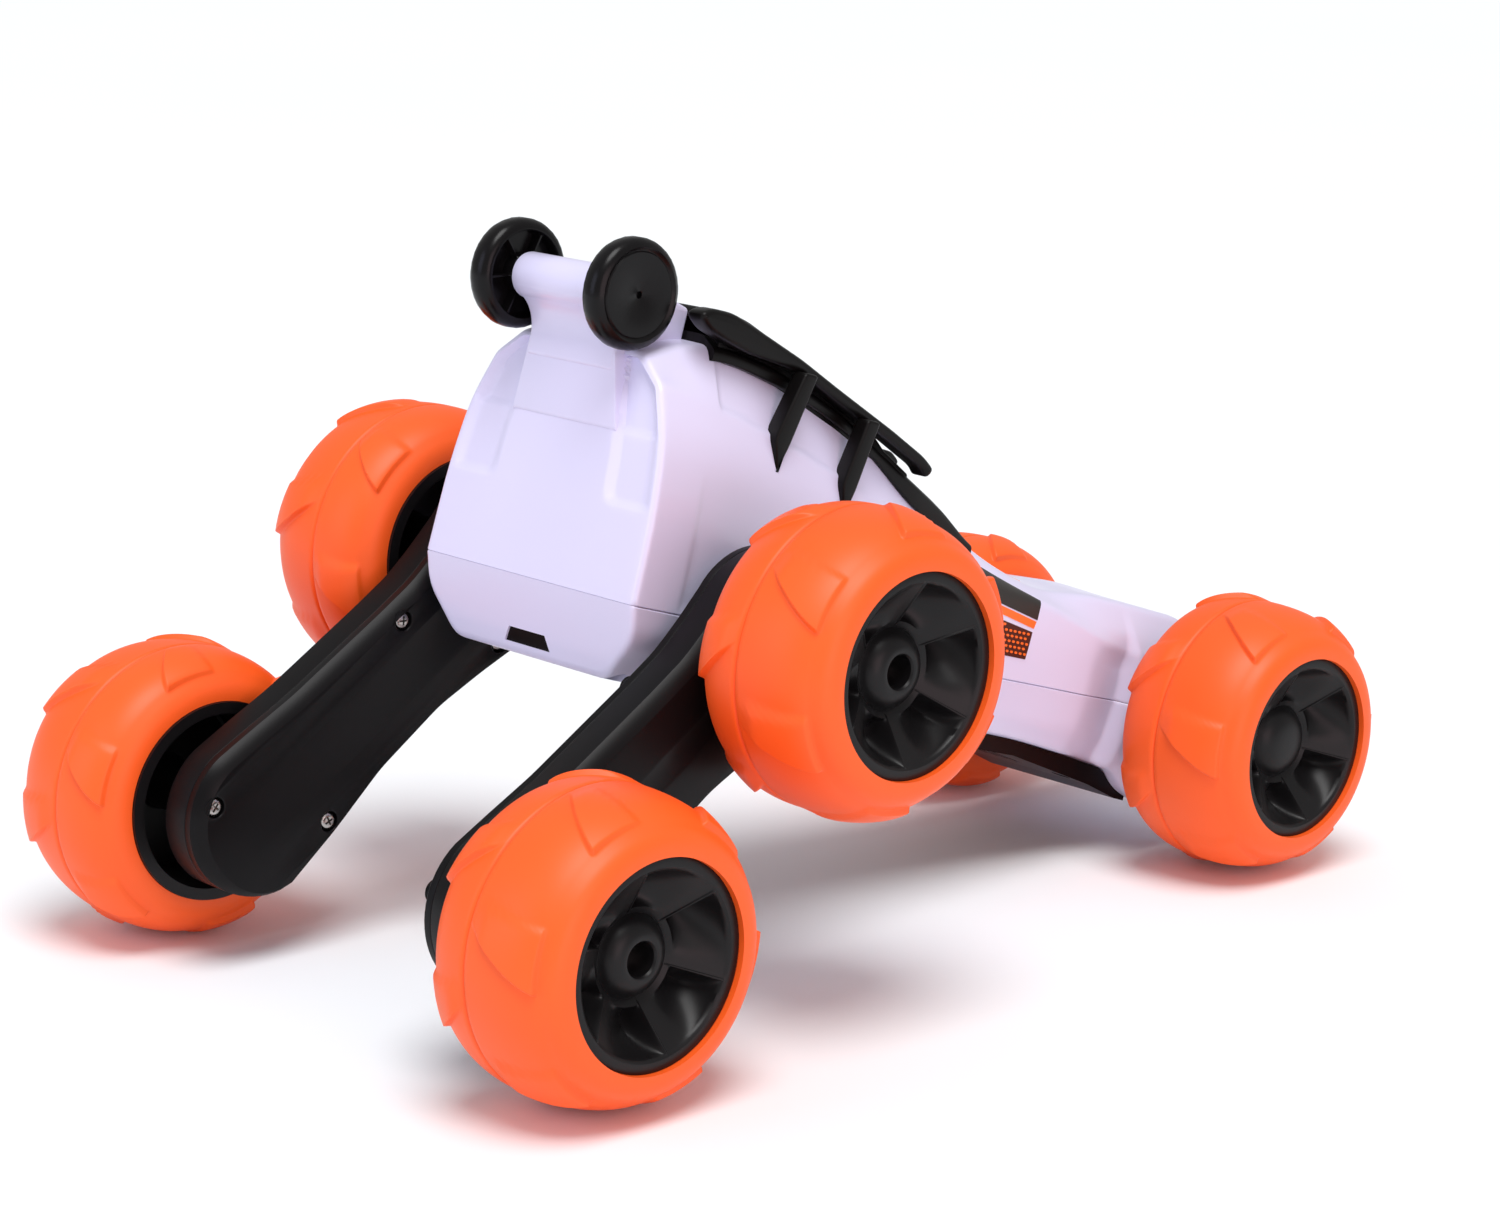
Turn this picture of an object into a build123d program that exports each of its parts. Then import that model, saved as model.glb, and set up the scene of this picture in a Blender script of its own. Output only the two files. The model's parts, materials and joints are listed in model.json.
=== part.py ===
from build123d import *
import os
from math import asin, cos, degrees, pi, radians, sin

os.makedirs("parts", exist_ok=True)

# A six-wheeled stunt car: a pitched body on two front wheels, and two swing arms that each
# carry a middle and a rear wheel. Row frame: +X to the nose, +Y to the car's left, +Z up, with
# the origin on the floor midway between the rear and front axles.

# ---- driving dimensions: millimetres, degrees
wheel_r = 36.0  # tyre radius at the crown
nose_length = 179.38  # swing axis to front axle, along the body
arm_length = 89.6  # swing axis to rear axle, along the arm
body_pitch = 16.29  # nose-down tilt of the body with the arms lowered
arm_wheel_y = 74.9  # crown plane of the arm wheels
front_wheel_y = 49.64  # crown plane of the front wheels
wall = 2.0  # body shell thickness

# ---- gears: one module throughout
gear_module = 0.8
train_teeth = 28  # the five equal gears inside each arm
ring_teeth = 32  # swing gear on each arm's sleeve
pinion_teeth = 14  # on the layshaft that turns both swing gears
arm_gear_y = (45.3, 50.3)
ring_gear_y = (23.1, 27.1)

# ---- tyre and hub section, measured outboard from the crown plane
tyre_in, tyre_out = 16.92, 22.76
bead_in_r, bead_out_r = 24.06, 23.43
tyre_wall = 3.0
tyre_power = 2.43  # superellipse exponent of the balloon section
hub_face = 21.2
hub_floor = 8.5
fin_count = 6

# ---- shafts and running clearance
running = 0.05
shaft_r = 2.5
pin_r = 1.5
front_axle_r = 2.0
layshaft_r = 2.0
sleeve_r = 6.0

# ---- swing arm, across the car
arm_inner_y, arm_seam_y, arm_outer_y = 40.0, 45.0, 55.5
arm_wall = 1.2
arm_floor = 1.6

# ---- tail rollers
roller_x, roller_z = -37.5, 67.7
roller_r = 12.85
roller_y = (16.3, 22.9)
tube_r = 5.4

# ---- nose drum, around the front axle
drum_r = 25.0
drum_y = 28.0

# ---- frames: the body frame and the arm frame both start at the swing axis
drop = nose_length * sin(radians(body_pitch))
arm_dip = degrees(asin(drop / arm_length))
mid_z = wheel_r + drop
mid_x = (arm_length * cos(radians(arm_dip)) - nose_length * cos(radians(body_pitch))) / 2
body_frame = Location((mid_x, 0, mid_z), (0, body_pitch, 0))
arm_frame = Location((mid_x, 0, mid_z), (0, 180 - arm_dip, 0))
layshaft_x = gear_module * (ring_teeth + pinion_teeth) / 2
idler_step = gear_module * train_teeth

# Half outlines of the body, (half width, height), from the bottom edge up to the roof edge,
# at stations along the body.
body_stations = [
    (-31.0, [(27, -18), (31.1, -13.4), (37, 0), (36.5, 21.2), (34.1, 37.5), (28.8, 49.5), (20.5, 55.8)]),
    (-14.0, [(27.5, -18), (31.5, -13.4), (37, 0), (36.5, 21.2), (34.3, 37.5), (30, 48.2), (23, 61)]),
    (3.0, [(27, -16.5), (31, -13), (36, 0), (35.6, 20), (33.8, 35), (30.5, 45.2), (24, 60)]),
    (31.0, [(26, -15), (30.5, -12), (35, 0), (34.6, 17), (33, 30), (30.2, 39.4), (23, 54.2)]),
    (61.0, [(24.5, -15), (29.5, -11), (33, 0), (32.5, 13), (31, 23), (28, 31), (21.5, 43)]),
    (76.0, [(24, -15), (28.5, -10.5), (31.5, 0), (31, 12), (30, 20), (27, 27), (20.5, 37.5)]),
    (90.0, [(23.5, -15), (27.5, -10), (30, 0), (29.6, 10), (28.5, 17), (26, 23.5), (19.5, 31.5)]),
    (122.5, [(23, -15), (26, -10), (27, 0), (26.9, 8), (26.6, 14), (25.4, 20.5), (18.5, 24.2)]),
    (150.0, [(23, -17), (26, -10), (27, 0), (26.95, 6), (26.7, 12), (25.2, 19), (19, 25)]),
    (nose_length, [(23, -20), (26, -12), (27, 0), (26.95, 6), (26.7, 12), (25.2, 18), (20, 25)]),
]
# Roof heights of the black canopy above the body's roof edge, at the same stations
canopy_tops = {-14.0: 63.5, 3.0: 62.3, 31.0: 56.0, 61.0: 45.2, 76.0: 40.0, 90.0: 32.2}


def save(name, shape, frame=Location()):
    """Writes one named piece, placed in the row frame."""
    export_step(frame * shape, f"parts/{name}.step")


def save_pair(name, shape, frame=Location()):
    """Writes a left piece, drawn on the +Y side, and its mirror image on the right."""
    save(f"{name}_left", shape, frame)
    save(f"{name}_right", mirror(shape, about=Plane.XZ), frame)


def group(shapes):
    """Separate solids that share a node."""
    return Compound([solid for shape in shapes for solid in shape.solids()])


def disc(radius, y0, y1, x=0.0, z=0.0):
    """Cylinder along Y."""
    return Pos(x, (y0 + y1) / 2, z) * Rot(90, 0, 0) * Cylinder(radius, y1 - y0)


def post(radius, z0, z1, x=0.0, y=0.0):
    """Cylinder along Z."""
    return Pos(x, y, (z0 + z1) / 2) * Cylinder(radius, z1 - z0)


def slab(x0, x1, y0, y1, z0, z1):
    """Box between two corners."""
    return Pos((x0 + x1) / 2, (y0 + y1) / 2, (z0 + z1) / 2) * Box(x1 - x0, y1 - y0, z1 - z0)


def plate(outline, y0, y1):
    """Flat outline of (x, z) corners, extruded across the car."""
    face = make_face(Polyline(*[(x, y0, z) for x, z in outline], close=True))
    return extrude(face, amount=y1 - y0, dir=(0, 1, 0))


def turned(outline):
    """Solid of revolution about Y from a closed outline of (y, radius) corners."""
    return revolve(make_face(Polyline(*[(r, y) for y, r in outline], close=True)), Axis.Y)


def both(shape):
    """A shape with its mirror image across the car's middle plane."""
    return shape + mirror(shape, about=Plane.XZ)


# ---------------------------------------------------------------- gears
def gear(teeth, y0, y1, phase=0.0):
    """Spur gear along Y with straight-flanked, thinned teeth; phase turns it by pitches."""
    tip_r = gear_module * (teeth / 2 + 0.9)
    root_r = gear_module * (teeth / 2 - 1.2)
    tip_half = 0.26 * gear_module / tip_r
    root_half = 0.86 * gear_module / root_r
    corners = []
    for tooth in range(teeth):
        middle = 2 * pi * (tooth + phase) / teeth
        for radius, angle in (
            (root_r, middle - root_half),
            (tip_r, middle - tip_half),
            (tip_r, middle + tip_half),
            (root_r, middle + root_half),
        ):
            corners.append((radius * cos(angle), radius * sin(angle)))
    return plate(corners, y0, y1)


# ---------------------------------------------------------------- wheels
def section_curve(crown_r, side_in, side_out):
    """Balloon section from the inboard bead over the crown to the outboard bead."""
    steps = 8
    points = []
    for i in range(-steps, steps + 1):
        turn = pi / 2 * (1 - abs(i) / steps)
        side, bead = (-side_in, bead_in_r) if i < 0 else (side_out, bead_out_r)
        y = side * cos(turn) ** (2 / tyre_power)
        r = bead + (crown_r - bead) * sin(turn) ** (2 / tyre_power)
        points.append((r, y))
    return points


def tyre(crown_y):
    """Hollow soft tyre, open towards the hub."""
    outside = section_curve(wheel_r, tyre_in, tyre_out)
    inside = section_curve(wheel_r - tyre_wall, tyre_in - tyre_wall, tyre_out - tyre_wall)
    edges = [
        Spline(*outside),
        Line(outside[-1], inside[-1]),
        Spline(*inside),
        Line(inside[0], outside[0]),
    ]
    return Pos(0, crown_y, 0) * revolve(make_face(edges), Axis.Y)


def hub(crown_y, bore_r, bore_start, bore_end, closed):
    """Dished hub with a domed centre; an open dome gives access to the wheel screw."""
    boss_r = 6.5
    dome_r, dome_top = 9.2, 16.5
    eye_r = 3.8
    screw_r = 1.4
    eye_floor = bore_end + 2.5
    outline = [
        (bore_start, bore_r),
        (bore_start, boss_r),
        (6.0, boss_r),
        (6.0, 21.0),
        (-tyre_in, 21.0),
        (-tyre_in, bead_in_r),
        (-tyre_in + tyre_wall, bead_in_r),
        (-tyre_in + tyre_wall, 22.8),
        (tyre_out - tyre_wall, 22.8),
        (tyre_out - tyre_wall, bead_out_r),
        (hub_face, bead_out_r),
        (hub_face, 20.4),
        (11.5, 18.6),
        (hub_floor, 16.8),
        (hub_floor, dome_r),
        (12.5, 8.4),
        (15.2, 6.4),
    ]
    if closed:
        outline += [(dome_top, 3.0), (dome_top, 0.0), (bore_end, 0.0), (bore_end, bore_r)]
    else:
        outline += [(dome_top, eye_r), (eye_floor, eye_r), (eye_floor, screw_r)]
        outline += [(bore_end, screw_r), (bore_end, bore_r)]
    solid = turned(outline)
    fin = plate([(8.6, -0.6), (19.8, -0.6), (19.8, 0.6), (8.6, 0.6)], 8.0, 17.5)
    slope = plate([(7.0, -2), (24, -2), (24, 2), (7.0, 2)], 8.0, 26.0)
    slope = Pos(0, 3.6, 0) * Rot(0, 0, 22) * slope
    for i in range(fin_count):
        solid += Rot(0, 360 / fin_count * i, 0) * (fin - slope)
    return Pos(0, crown_y, 0) * solid


def pan_screw(length, shank_r=1.3, head_r=2.3, head=1.6):
    """Cross-recess pan head screw along -Z, with the underside of its head at the origin."""
    screw = post(head_r, 0, head) + post(shank_r, -length, 0)
    cross = slab(-1.3, 1.3, -0.3, 0.3, head - 0.8, head + 1)
    cross += slab(-0.3, 0.3, -1.3, 1.3, head - 0.8, head + 1)
    return screw - cross


def across(screw, x, y, z):
    """Turns a screw to lie along Y, driven from the +Y side."""
    return Pos(x, y, z) * Rot(-90, 0, 0) * screw


wheel_bore_end = arm_wheel_y + 4.0
hub_start = 57.0 - arm_wheel_y


def wheel_shaft(y_start):
    """Steel shaft carrying one gear of the arm train, with a tapped end for the wheel screw."""
    shaft = disc(shaft_r, y_start, wheel_bore_end - 0.3)
    shaft += gear(train_teeth, *arm_gear_y)
    shaft += disc(5.0, arm_gear_y[0] - 0.6, arm_gear_y[1] + 0.6)
    return shaft - disc(1.3, wheel_bore_end - 9, wheel_bore_end)


arm_hub = hub(arm_wheel_y, shaft_r, hub_start, 4.0, closed=False)
wheel_screw = across(pan_screw(9.0, head_r=3.4), 0, arm_wheel_y + 6.5, 0)
for place, x, start in (("mid", 0.0, 22.1), ("rear", arm_length, arm_inner_y + 0.9)):
    wheel_at = arm_frame * Location((x, 0, 0))
    save_pair(f"{place}_tyre", tyre(arm_wheel_y), wheel_at)
    save_pair(f"{place}_hub", arm_hub, wheel_at)
    save_pair(f"{place}_wheel_shaft", wheel_shaft(start), wheel_at)
    save_pair(f"{place}_wheel_screw", wheel_screw, wheel_at)

# The front hubs snap over the mushroom ends of a fixed axle and turn freely on it.
front_at = body_frame * Location((nose_length, 0, 0))
front_hub = hub(front_wheel_y, front_axle_r + running, drum_y + 0.8 - front_wheel_y, 7.0, closed=True)
front_hub -= disc(2.9, front_wheel_y + 2.0, front_wheel_y + 5.0)
front_tip = front_wheel_y + 6.5
front_axle = disc(front_axle_r, -front_tip, front_tip)
front_axle += both(disc(2.6, front_wheel_y + 2.6, front_wheel_y + 4.4))
save_pair("front_tyre", tyre(front_wheel_y), front_at)
save_pair("front_hub", front_hub, front_at)
save("front_axle", front_axle, front_at)


# ---------------------------------------------------------------- swing arms
def arm_outline(inset_by=0.0):
    """Side outline of the arm, round at both ends and waisted between them."""
    end_r = 19.8
    rear = arm_length
    top = [(6.0, -18.87), (24.0, -15.6), (66.0, -16.8), (rear, -19.0)]
    bottom = [(rear + 3.0, 18.76), (76.0, 17.1), (58.0, 14.2), (36.0, 13.7), (8.0, 18.11)]
    lines = Polyline(*top) + ThreePointArc(top[-1], (rear + 19.0, 0), bottom[0])
    lines += Polyline(*bottom) + ThreePointArc(bottom[-1], (-end_r, 0), top[0])
    face = make_face(lines.edges())
    return offset(face, amount=-inset_by) if inset_by else face


def arm_solid(y0, y1, inset_by=0.0):
    """The arm's outline, inset if asked, extruded between two planes across the car."""
    return Pos(0, y0, 0) * Rot(-90, 0, 0) * mirror(
        extrude(arm_outline(inset_by), amount=y1 - y0), about=Plane.XZ
    )


arm_screw_spots = [(13.6, 13.2), (32.7, -11.4), (76.4, 14.0), (98.2, -11.8)]
screw_post_r = 2.9
screw_head_y = arm_inner_y + 2.4

inner_shell = arm_solid(arm_inner_y, arm_seam_y)
inner_shell -= arm_solid(arm_inner_y + arm_floor, arm_seam_y + 1, arm_wall)
outer_shell = arm_solid(arm_seam_y, arm_outer_y)
outer_shell -= arm_solid(arm_seam_y - 1, arm_outer_y - arm_floor, arm_wall)
pins = []
arm_screws = []
inner_core = arm_solid(arm_inner_y + arm_floor, arm_seam_y, arm_wall)
outer_core = arm_solid(arm_seam_y, arm_outer_y - arm_floor, arm_wall)
for step in range(1, 4):
    x = idler_step * step
    inner_shell += disc(3.0, arm_inner_y + arm_floor, arm_gear_y[0] - 0.5, x)
    outer_shell += disc(3.0, arm_gear_y[1] + 0.5, arm_outer_y - arm_floor, x)
    pin = disc(pin_r, arm_inner_y + 0.9, arm_outer_y - 0.9, x)
    inner_shell -= pin
    outer_shell -= pin
    pins.append(pin)
# the hub ends: the sleeve's seat at the swing axis, and the bearings of both wheel shafts
inner_shell += disc(9.0, arm_inner_y + arm_floor, arm_gear_y[0] - 0.9)
inner_shell -= disc(sleeve_r, arm_inner_y - 1, arm_seam_y + 1)
inner_shell += disc(5.0, arm_inner_y + arm_floor, arm_gear_y[0] - 0.9, arm_length)
inner_shell -= disc(shaft_r + running, arm_inner_y + 0.6, arm_seam_y + 1, arm_length)
for x in (0.0, arm_length):
    outer_shell += disc(6.0, arm_gear_y[1] + 0.9, arm_outer_y, x)
    outer_shell -= disc(shaft_r + running, arm_seam_y, arm_outer_y + 1, x)
# screw posts stand clear of the gear train, next to the arm's edges
trains = [disc(13.1, arm_seam_y - 4, arm_gear_y[1] + 0.9, idler_step * i) for i in range(5)]
for x, z in arm_screw_spots:
    inner_shell += disc(screw_post_r, arm_inner_y + arm_floor, arm_seam_y, x, z) & inner_core
    outer_shell += (disc(screw_post_r, arm_seam_y, arm_outer_y - arm_floor, x, z) & outer_core) - trains
for x, z in arm_screw_spots:
    inner_shell -= disc(2.5, arm_inner_y - 1, screw_head_y, x, z)
    inner_shell -= disc(1.3, arm_inner_y, arm_seam_y + 1, x, z)
    outer_shell -= disc(1.3, arm_seam_y - 1, arm_seam_y + 6.0, x, z)
    screw = Pos(x, screw_head_y, z) * Rot(90, 0, 0) * pan_screw(8.0)
    arm_screws.append(screw)

sleeve = disc(sleeve_r, ring_gear_y[0], arm_gear_y[0] - 0.9) + gear(ring_teeth, *ring_gear_y)
sleeve += disc(8.0, ring_gear_y[0], ring_gear_y[1] + 0.4)
sleeve -= disc(shaft_r + running, ring_gear_y[0] - 1, arm_seam_y + 1)

save_pair("arm_inner_shell", inner_shell, arm_frame)
save_pair("arm_outer_shell", outer_shell, arm_frame)
save_pair("arm_screws", group(arm_screws), arm_frame)
save_pair("idler_pins", group(pins), arm_frame)
save_pair("swing_gear", sleeve, body_frame)
for step in range(1, 4):
    idler = gear(train_teeth, *arm_gear_y, phase=0.5 * (step % 2))
    idler += disc(4.0, arm_gear_y[0] - 0.3, arm_gear_y[1] + 0.3)
    idler -= disc(pin_r + running, arm_inner_y, arm_outer_y)
    save_pair(f"idler_gear_{step}", Pos(idler_step * step, 0, 0) * idler, arm_frame)


# ---------------------------------------------------------------- body shells
def full_outline(half):
    """Mirrors a half outline into a closed one, counter-clockwise seen from the nose."""
    return half + [(-y, z) for y, z in reversed(half)]


def inset(outline, amount):
    """Moves each edge of a convex counter-clockwise outline inwards."""
    corners = [Vector(y, z) for y, z in outline]
    moved = []
    for i, here in enumerate(corners):
        arriving = (here - corners[i - 1]).normalized()
        leaving = (corners[(i + 1) % len(corners)] - here).normalized()
        normal_a = Vector(-arriving.Y, arriving.X)
        normal_b = Vector(-leaving.Y, leaving.X)
        corner = here + (normal_a + normal_b) * (amount / (1 + normal_a.dot(normal_b)))
        moved.append((corner.X, corner.Y))
    return moved


def station_face(x, outline):
    """A cross-section of the body at a station."""
    return make_face(Polyline(*[(x, y, z) for y, z in outline], close=True))


def station_loft(stations):
    """Flat-sided solid through the stations."""
    return loft([station_face(x, outline) for x, outline in stations], ruled=True)


outer_stations = [(x, full_outline(half)) for x, half in body_stations]
inner_stations = [(x, inset(outline, wall)) for x, outline in outer_stations]
inner_stations[0] = (inner_stations[0][0] + wall, inner_stations[0][1])

# The tail panel leans forward below the parting plane.
tail_lean = [(-40, 0), (-31, 0), (-26.6, -13.4), (-24.8, -18.2), (-24.8, -30), (-40, -30)]
tail_cut = plate(tail_lean, -60, 60)
body_outer = station_loft(outer_stations) + disc(drum_r, -drum_y, drum_y, nose_length)
body_outer -= tail_cut
body_cavity = station_loft(inner_stations) + disc(drum_r - wall, -drum_y + wall, drum_y - wall, nose_length)
body_cavity -= Pos(wall, 0, 0) * tail_cut

# The centre ridge climbs the tail panel, carries the roller tube and runs on to the canopy.
ridge_side = [(-30.5, 36), (-33, 38), (-34.2, 57), (-41.5, 64), (roller_x, roller_z + tube_r)]
ridge_side += [(-14.2, 68.3), (-14.2, 50), (-30.5, 50)]
ridge = plate(ridge_side, -14.9, 14.9) + disc(tube_r, -15.6, 15.6, roller_x, roller_z)
ridge_hollow = plate([(-28, 45), (-31.8, 57), (-31.8, 62), (-20, 66), (-16.4, 66), (-16.4, 50)], -12.9, 12.9)

upper_half = slab(-60, 230, -60, 60, 0, 120)
lower_half = slab(-60, 230, -60, 60, -60, 0)
axle_boss = both(disc(5.0, drum_y - 9, drum_y - 1, nose_length))
layshaft_boss = both(disc(4.5, 32.3, 34.2, layshaft_x))
bush_r, bush_seat_y = 8.5, (30.5, 37.4)
bush_boss = both(disc(bush_r + 2.5, *bush_seat_y))
shell = body_outer + ridge - body_cavity - ridge_hollow + axle_boss + layshaft_boss + bush_boss
shell -= both(disc(bush_r, 30, 45))
shell -= disc(front_axle_r, -40, 40, nose_length)
shell -= both(disc(layshaft_r + running, 30, 33.9, layshaft_x))
shell -= disc(pin_r, -20, 20, roller_x, roller_z)
upper_shell = shell & upper_half
lower_shell = shell & lower_half

# Screw posts: six join the shells, four hold the belly plate.
belly_top, belly_flat = -15.0, -19.0
shell_screw_spots = [(x, y * side) for x, y in ((-21, 26.5), (62, 24.0), (106, 20.5)) for side in (1, -1)]
belly_screw_spots = [(x, y * side) for x, y in ((30, 17.5), (152, 17.5)) for side in (1, -1)]
shell_head_z = -11.5
body_screws = []
for x, y in shell_screw_spots:
    lower_shell += post(3.3, -30, 0, x, y) & body_outer
    lower_shell -= post(2.6, -30, shell_head_z, x, y) + post(1.5, -30, 1, x, y)
    upper_shell += post(3.3, 0, 60, x, y) & body_outer
    upper_shell -= post(1.3, -1, 8, x, y)
    body_screws.append(Pos(x, y, shell_head_z) * Rot(180, 0, 0) * pan_screw(17.5))
belly_outline = [(14, belly_top), (21, belly_flat), (126, belly_flat), (158, -23.0), (170, -25.4)]
belly_outline += [(174, -25.6), (174, -24.0), (166, -20.4), (160, -17.8), (150, -17.0), (122.5, belly_top)]
belly_plate = plate(belly_outline, -22, 22) - body_outer
for x, y in belly_screw_spots:
    floor_z = belly_flat + 2.2 if x < 126 else -19.0
    lower_shell += post(3.3, -30, -8, x, y) & body_outer
    lower_shell -= post(1.3, -30, -9, x, y)
    belly_plate -= post(2.6, -30, floor_z, x, y) + post(1.5, -30, 0, x, y)
    body_screws.append(Pos(x, y, floor_z) * Rot(180, 0, 0) * pan_screw(floor_z * -1 - 9.5))

# Battery bay: a door in the belly plate below an opening in the shell's floor
bay_x0, bay_x1, bay_y = 63.0, 112.0, 14.5
door_lip = 1.6
door_thick = 1.8
bay = slab(bay_x0, bay_x1, -bay_y, bay_y, -30, -12)
door_seat = slab(bay_x0 - door_lip, bay_x1 + door_lip, -bay_y - door_lip, bay_y + door_lip,
                 -30, belly_flat + door_thick)
door_screw_x = bay_x1 - 3.5
lower_shell -= slab(bay_x0, bay_x1 - 7, -bay_y, bay_y, -30, -12)
lower_shell -= post(1.3, -30, -13.4, door_screw_x)
belly_plate -= slab(bay_x0, bay_x1 - 7, -bay_y, bay_y, -30, 0) + door_seat
belly_plate -= post(1.3, -30, 0, door_screw_x)
gap = 0.2
battery_door = slab(bay_x0 - door_lip + gap, bay_x1 + door_lip - gap,
                    -bay_y - door_lip + gap, bay_y + door_lip - gap,
                    belly_flat, belly_flat + door_thick)
battery_door -= post(1.4, -30, 0, door_screw_x) + post(2.6, -30, belly_flat + 1.0, door_screw_x)
body_screws.append(Pos(door_screw_x, 0, belly_flat + 1.0) * Rot(180, 0, 0) * pan_screw(4.2, head=0.9))

# Slide switch in the belly, and its slot
switch_x, switch_travel = 44.0, 4.0
switch_slot = slab(switch_x - 2.3, switch_x + 2.3 + switch_travel, -2.3, 2.3, -30, -14)
belly_plate -= switch_slot
lower_shell -= slab(switch_x - 4.4, switch_x + 4.4 + switch_travel, -3.8, 3.8, -16, -12)
power_switch = slab(switch_x - 2, switch_x + 2, -2, 2, belly_flat - 0.6, -14.6)
power_switch += slab(switch_x - 4, switch_x + 4, -3.4, 3.4, belly_top + 0.2, -13.2)

# Speaker slots through the nose's floor
speaker_x, speaker_r = 138.0, 13.0
for i in range(-2, 3):
    slot = slab(speaker_x - 8, speaker_x + 8, 3.6 * i - 0.8, 3.6 * i + 0.8, -30, -10)
    lower_shell -= slot
    belly_plate -= slot

# Charging socket behind a tapered slot in the tail's lower edge
port_face = [(-6.3, -12.2), (6.3, -12.2), (8.0, -15.6), (-8.0, -15.6)]
port_slot = extrude(station_face(-34, port_face), amount=10.6, dir=(1, 0, 0))
lower_shell -= port_slot
charging_socket = slab(-23.4, -16.5, -4.6, 4.6, -15.4, -12.2)
charging_socket -= slab(-24, -18, -4.0, 4.0, -14.8, -12.8)
charging_socket += slab(-23.0, -17.5, -2.9, 2.9, -14.1, -13.5)

# Head lamps: a lens in the drum's front on each side, with its light behind it
lamp_y, lamp_r, lamp_rise = 14.0, 5.4, 20.0
lamp_axis = Pos(nose_length, lamp_y, 0) * Rot(0, -lamp_rise, 0) * Rot(0, 90, 0)
lens = lamp_axis * (post(lamp_r, drum_r - 2.6, drum_r - 0.1) + post(lamp_r + 0.9, drum_r - 3.8, drum_r - 2.6))
lens = lens & disc(drum_r, -drum_y, drum_y, nose_length)
led = lamp_axis * (post(2.5, 13.0, 20.0) + post(2.9, 12.0, 13.0))
upper_shell -= both(lamp_axis * (post(lamp_r, 20, 30) + post(lamp_r + 0.9, 17, drum_r - 2.6)))

save("upper_shell", upper_shell, body_frame)
save("lower_shell", lower_shell, body_frame)
save("belly_plate", belly_plate, body_frame)
save("battery_door", battery_door, body_frame)
save("power_switch", power_switch, body_frame)
save("body_screws", group(body_screws), body_frame)
save("charging_socket", charging_socket, body_frame)
save("headlight_lenses", group([lens, mirror(lens, about=Plane.XZ)]), body_frame)
save("headlight_leds", group([led, mirror(led, about=Plane.XZ)]), body_frame)


# ---------------------------------------------------------------- canopy and roof rails
def canopy_loft(lower_by=0.0, narrow_by=0.0):
    """The canopy's outside, or a smaller copy of it for its hollow."""
    stations = []
    for x, half in body_stations:
        if x in canopy_tops:
            edge_y, edge_z = half[-1]
            skirt_y = edge_y + 2.8 - narrow_by
            top_z = max(canopy_tops[x] - lower_by, edge_z + 0.05)
            top_y = edge_y - 2.2 - narrow_by
            skirt = [(skirt_y, edge_z - 3.4), (skirt_y, edge_z - 0.8)]
            stations.append((x, full_outline([*skirt, (top_y, top_z)])))
    return station_loft(stations)


canopy = canopy_loft() - canopy_loft(lower_by=1.4, narrow_by=1.6)
rail_seat = [(-12, 61.9), (-6, 61.1), (11, 60.2), (24.5, 56.1), (44, 50.4), (50, 47.4), (60, 43.8)]
seat_side = rail_seat + [(60, 41), (31, 50), (3, 57), (-12, 58)]
canopy += both(plate(seat_side, 22.6, 25.6))
foot = plate([(52, 47.9), (61, 45.2), (63.5, 47.0), (60, 48.6)], -18, 18) - canopy_loft()
canopy += foot
blade = plate([(-13.5, 66.6), (-12, 69.6), (-4, 69.0), (12, 64.6), (12, 62.4), (0, 65.6)], -23.6, 23.6)
canopy += plate([(-10, 62.9), (-10, 66.8), (6, 65.0), (6, 61.6)], -8, 8) - canopy_loft() + blade
canopy -= body_outer

rail_top = [(-24.6, 67.0), (-21, 69.0), (-14, 69.2), (-6, 67.4), (11, 63.3), (24.5, 59.2), (46, 53.0), (59, 48.8)]
rail_under = [(61.5, 43.6), (59, 45.8), (46, 50.0), (24.5, 56.2), (11, 60.3), (-6, 61.2), (-14, 62.4), (-21, 64.0)]
rail_side = rail_top + [(63.4, 46.4)] + rail_under
rail = plate(rail_side, 24.0, 30.0)
fin_rear = [(9.6, 60.5), (13.8, 60.5), (9.8, 43.0), (7.4, 36.0), (4.6, 44.0)]
fin_front = [(33.6, 53.8), (37.8, 53.8), (34.8, 36.5), (32.6, 29.5), (30.0, 37.4)]
for outline in (fin_rear, fin_front):
    rail += plate(outline, 28.4, 33.0)
rail -= body_outer + canopy
save("canopy", canopy, body_frame)
save_pair("roof_rail", rail, body_frame)

# ---------------------------------------------------------------- rollers
roller_mid = (roller_y[0] + roller_y[1]) / 2
roller = turned([
    (roller_y[0], pin_r + running), (roller_y[0], 4.5), (roller_y[0] + 0.8, 5.0),
    (roller_y[0] + 0.8, roller_r - 2.6), (roller_y[0] + 1.6, roller_r - 0.6),
    (roller_mid, roller_r), (roller_y[1] - 1.6, roller_r - 0.6),
    (roller_y[1] - 0.4, roller_r - 2.6), (roller_y[1] - 0.9, roller_r - 3.4),
    (roller_y[1], 4.0), (roller_y[1], pin_r + running),
])
roller_at = body_frame * Location((roller_x, 0, roller_z))
save_pair("roller", roller, roller_at)
save("roller_axle", disc(pin_r, 1.6 - roller_y[1], roller_y[1] - 1.6), roller_at)

# ---------------------------------------------------------------- drive and electrics
bush_in, bush_flange, bush_out = bush_seat_y[0], bush_seat_y[1], bush_seat_y[1] + 1.2
bush = turned([(bush_in, sleeve_r + running), (bush_in, bush_r), (bush_flange, bush_r),
               (bush_flange, bush_r + 2.0), (bush_out, bush_r + 2.0), (bush_out, sleeve_r + running)])
save("axle_bushes", group([bush, mirror(bush, about=Plane.XZ)]), body_frame)

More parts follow.
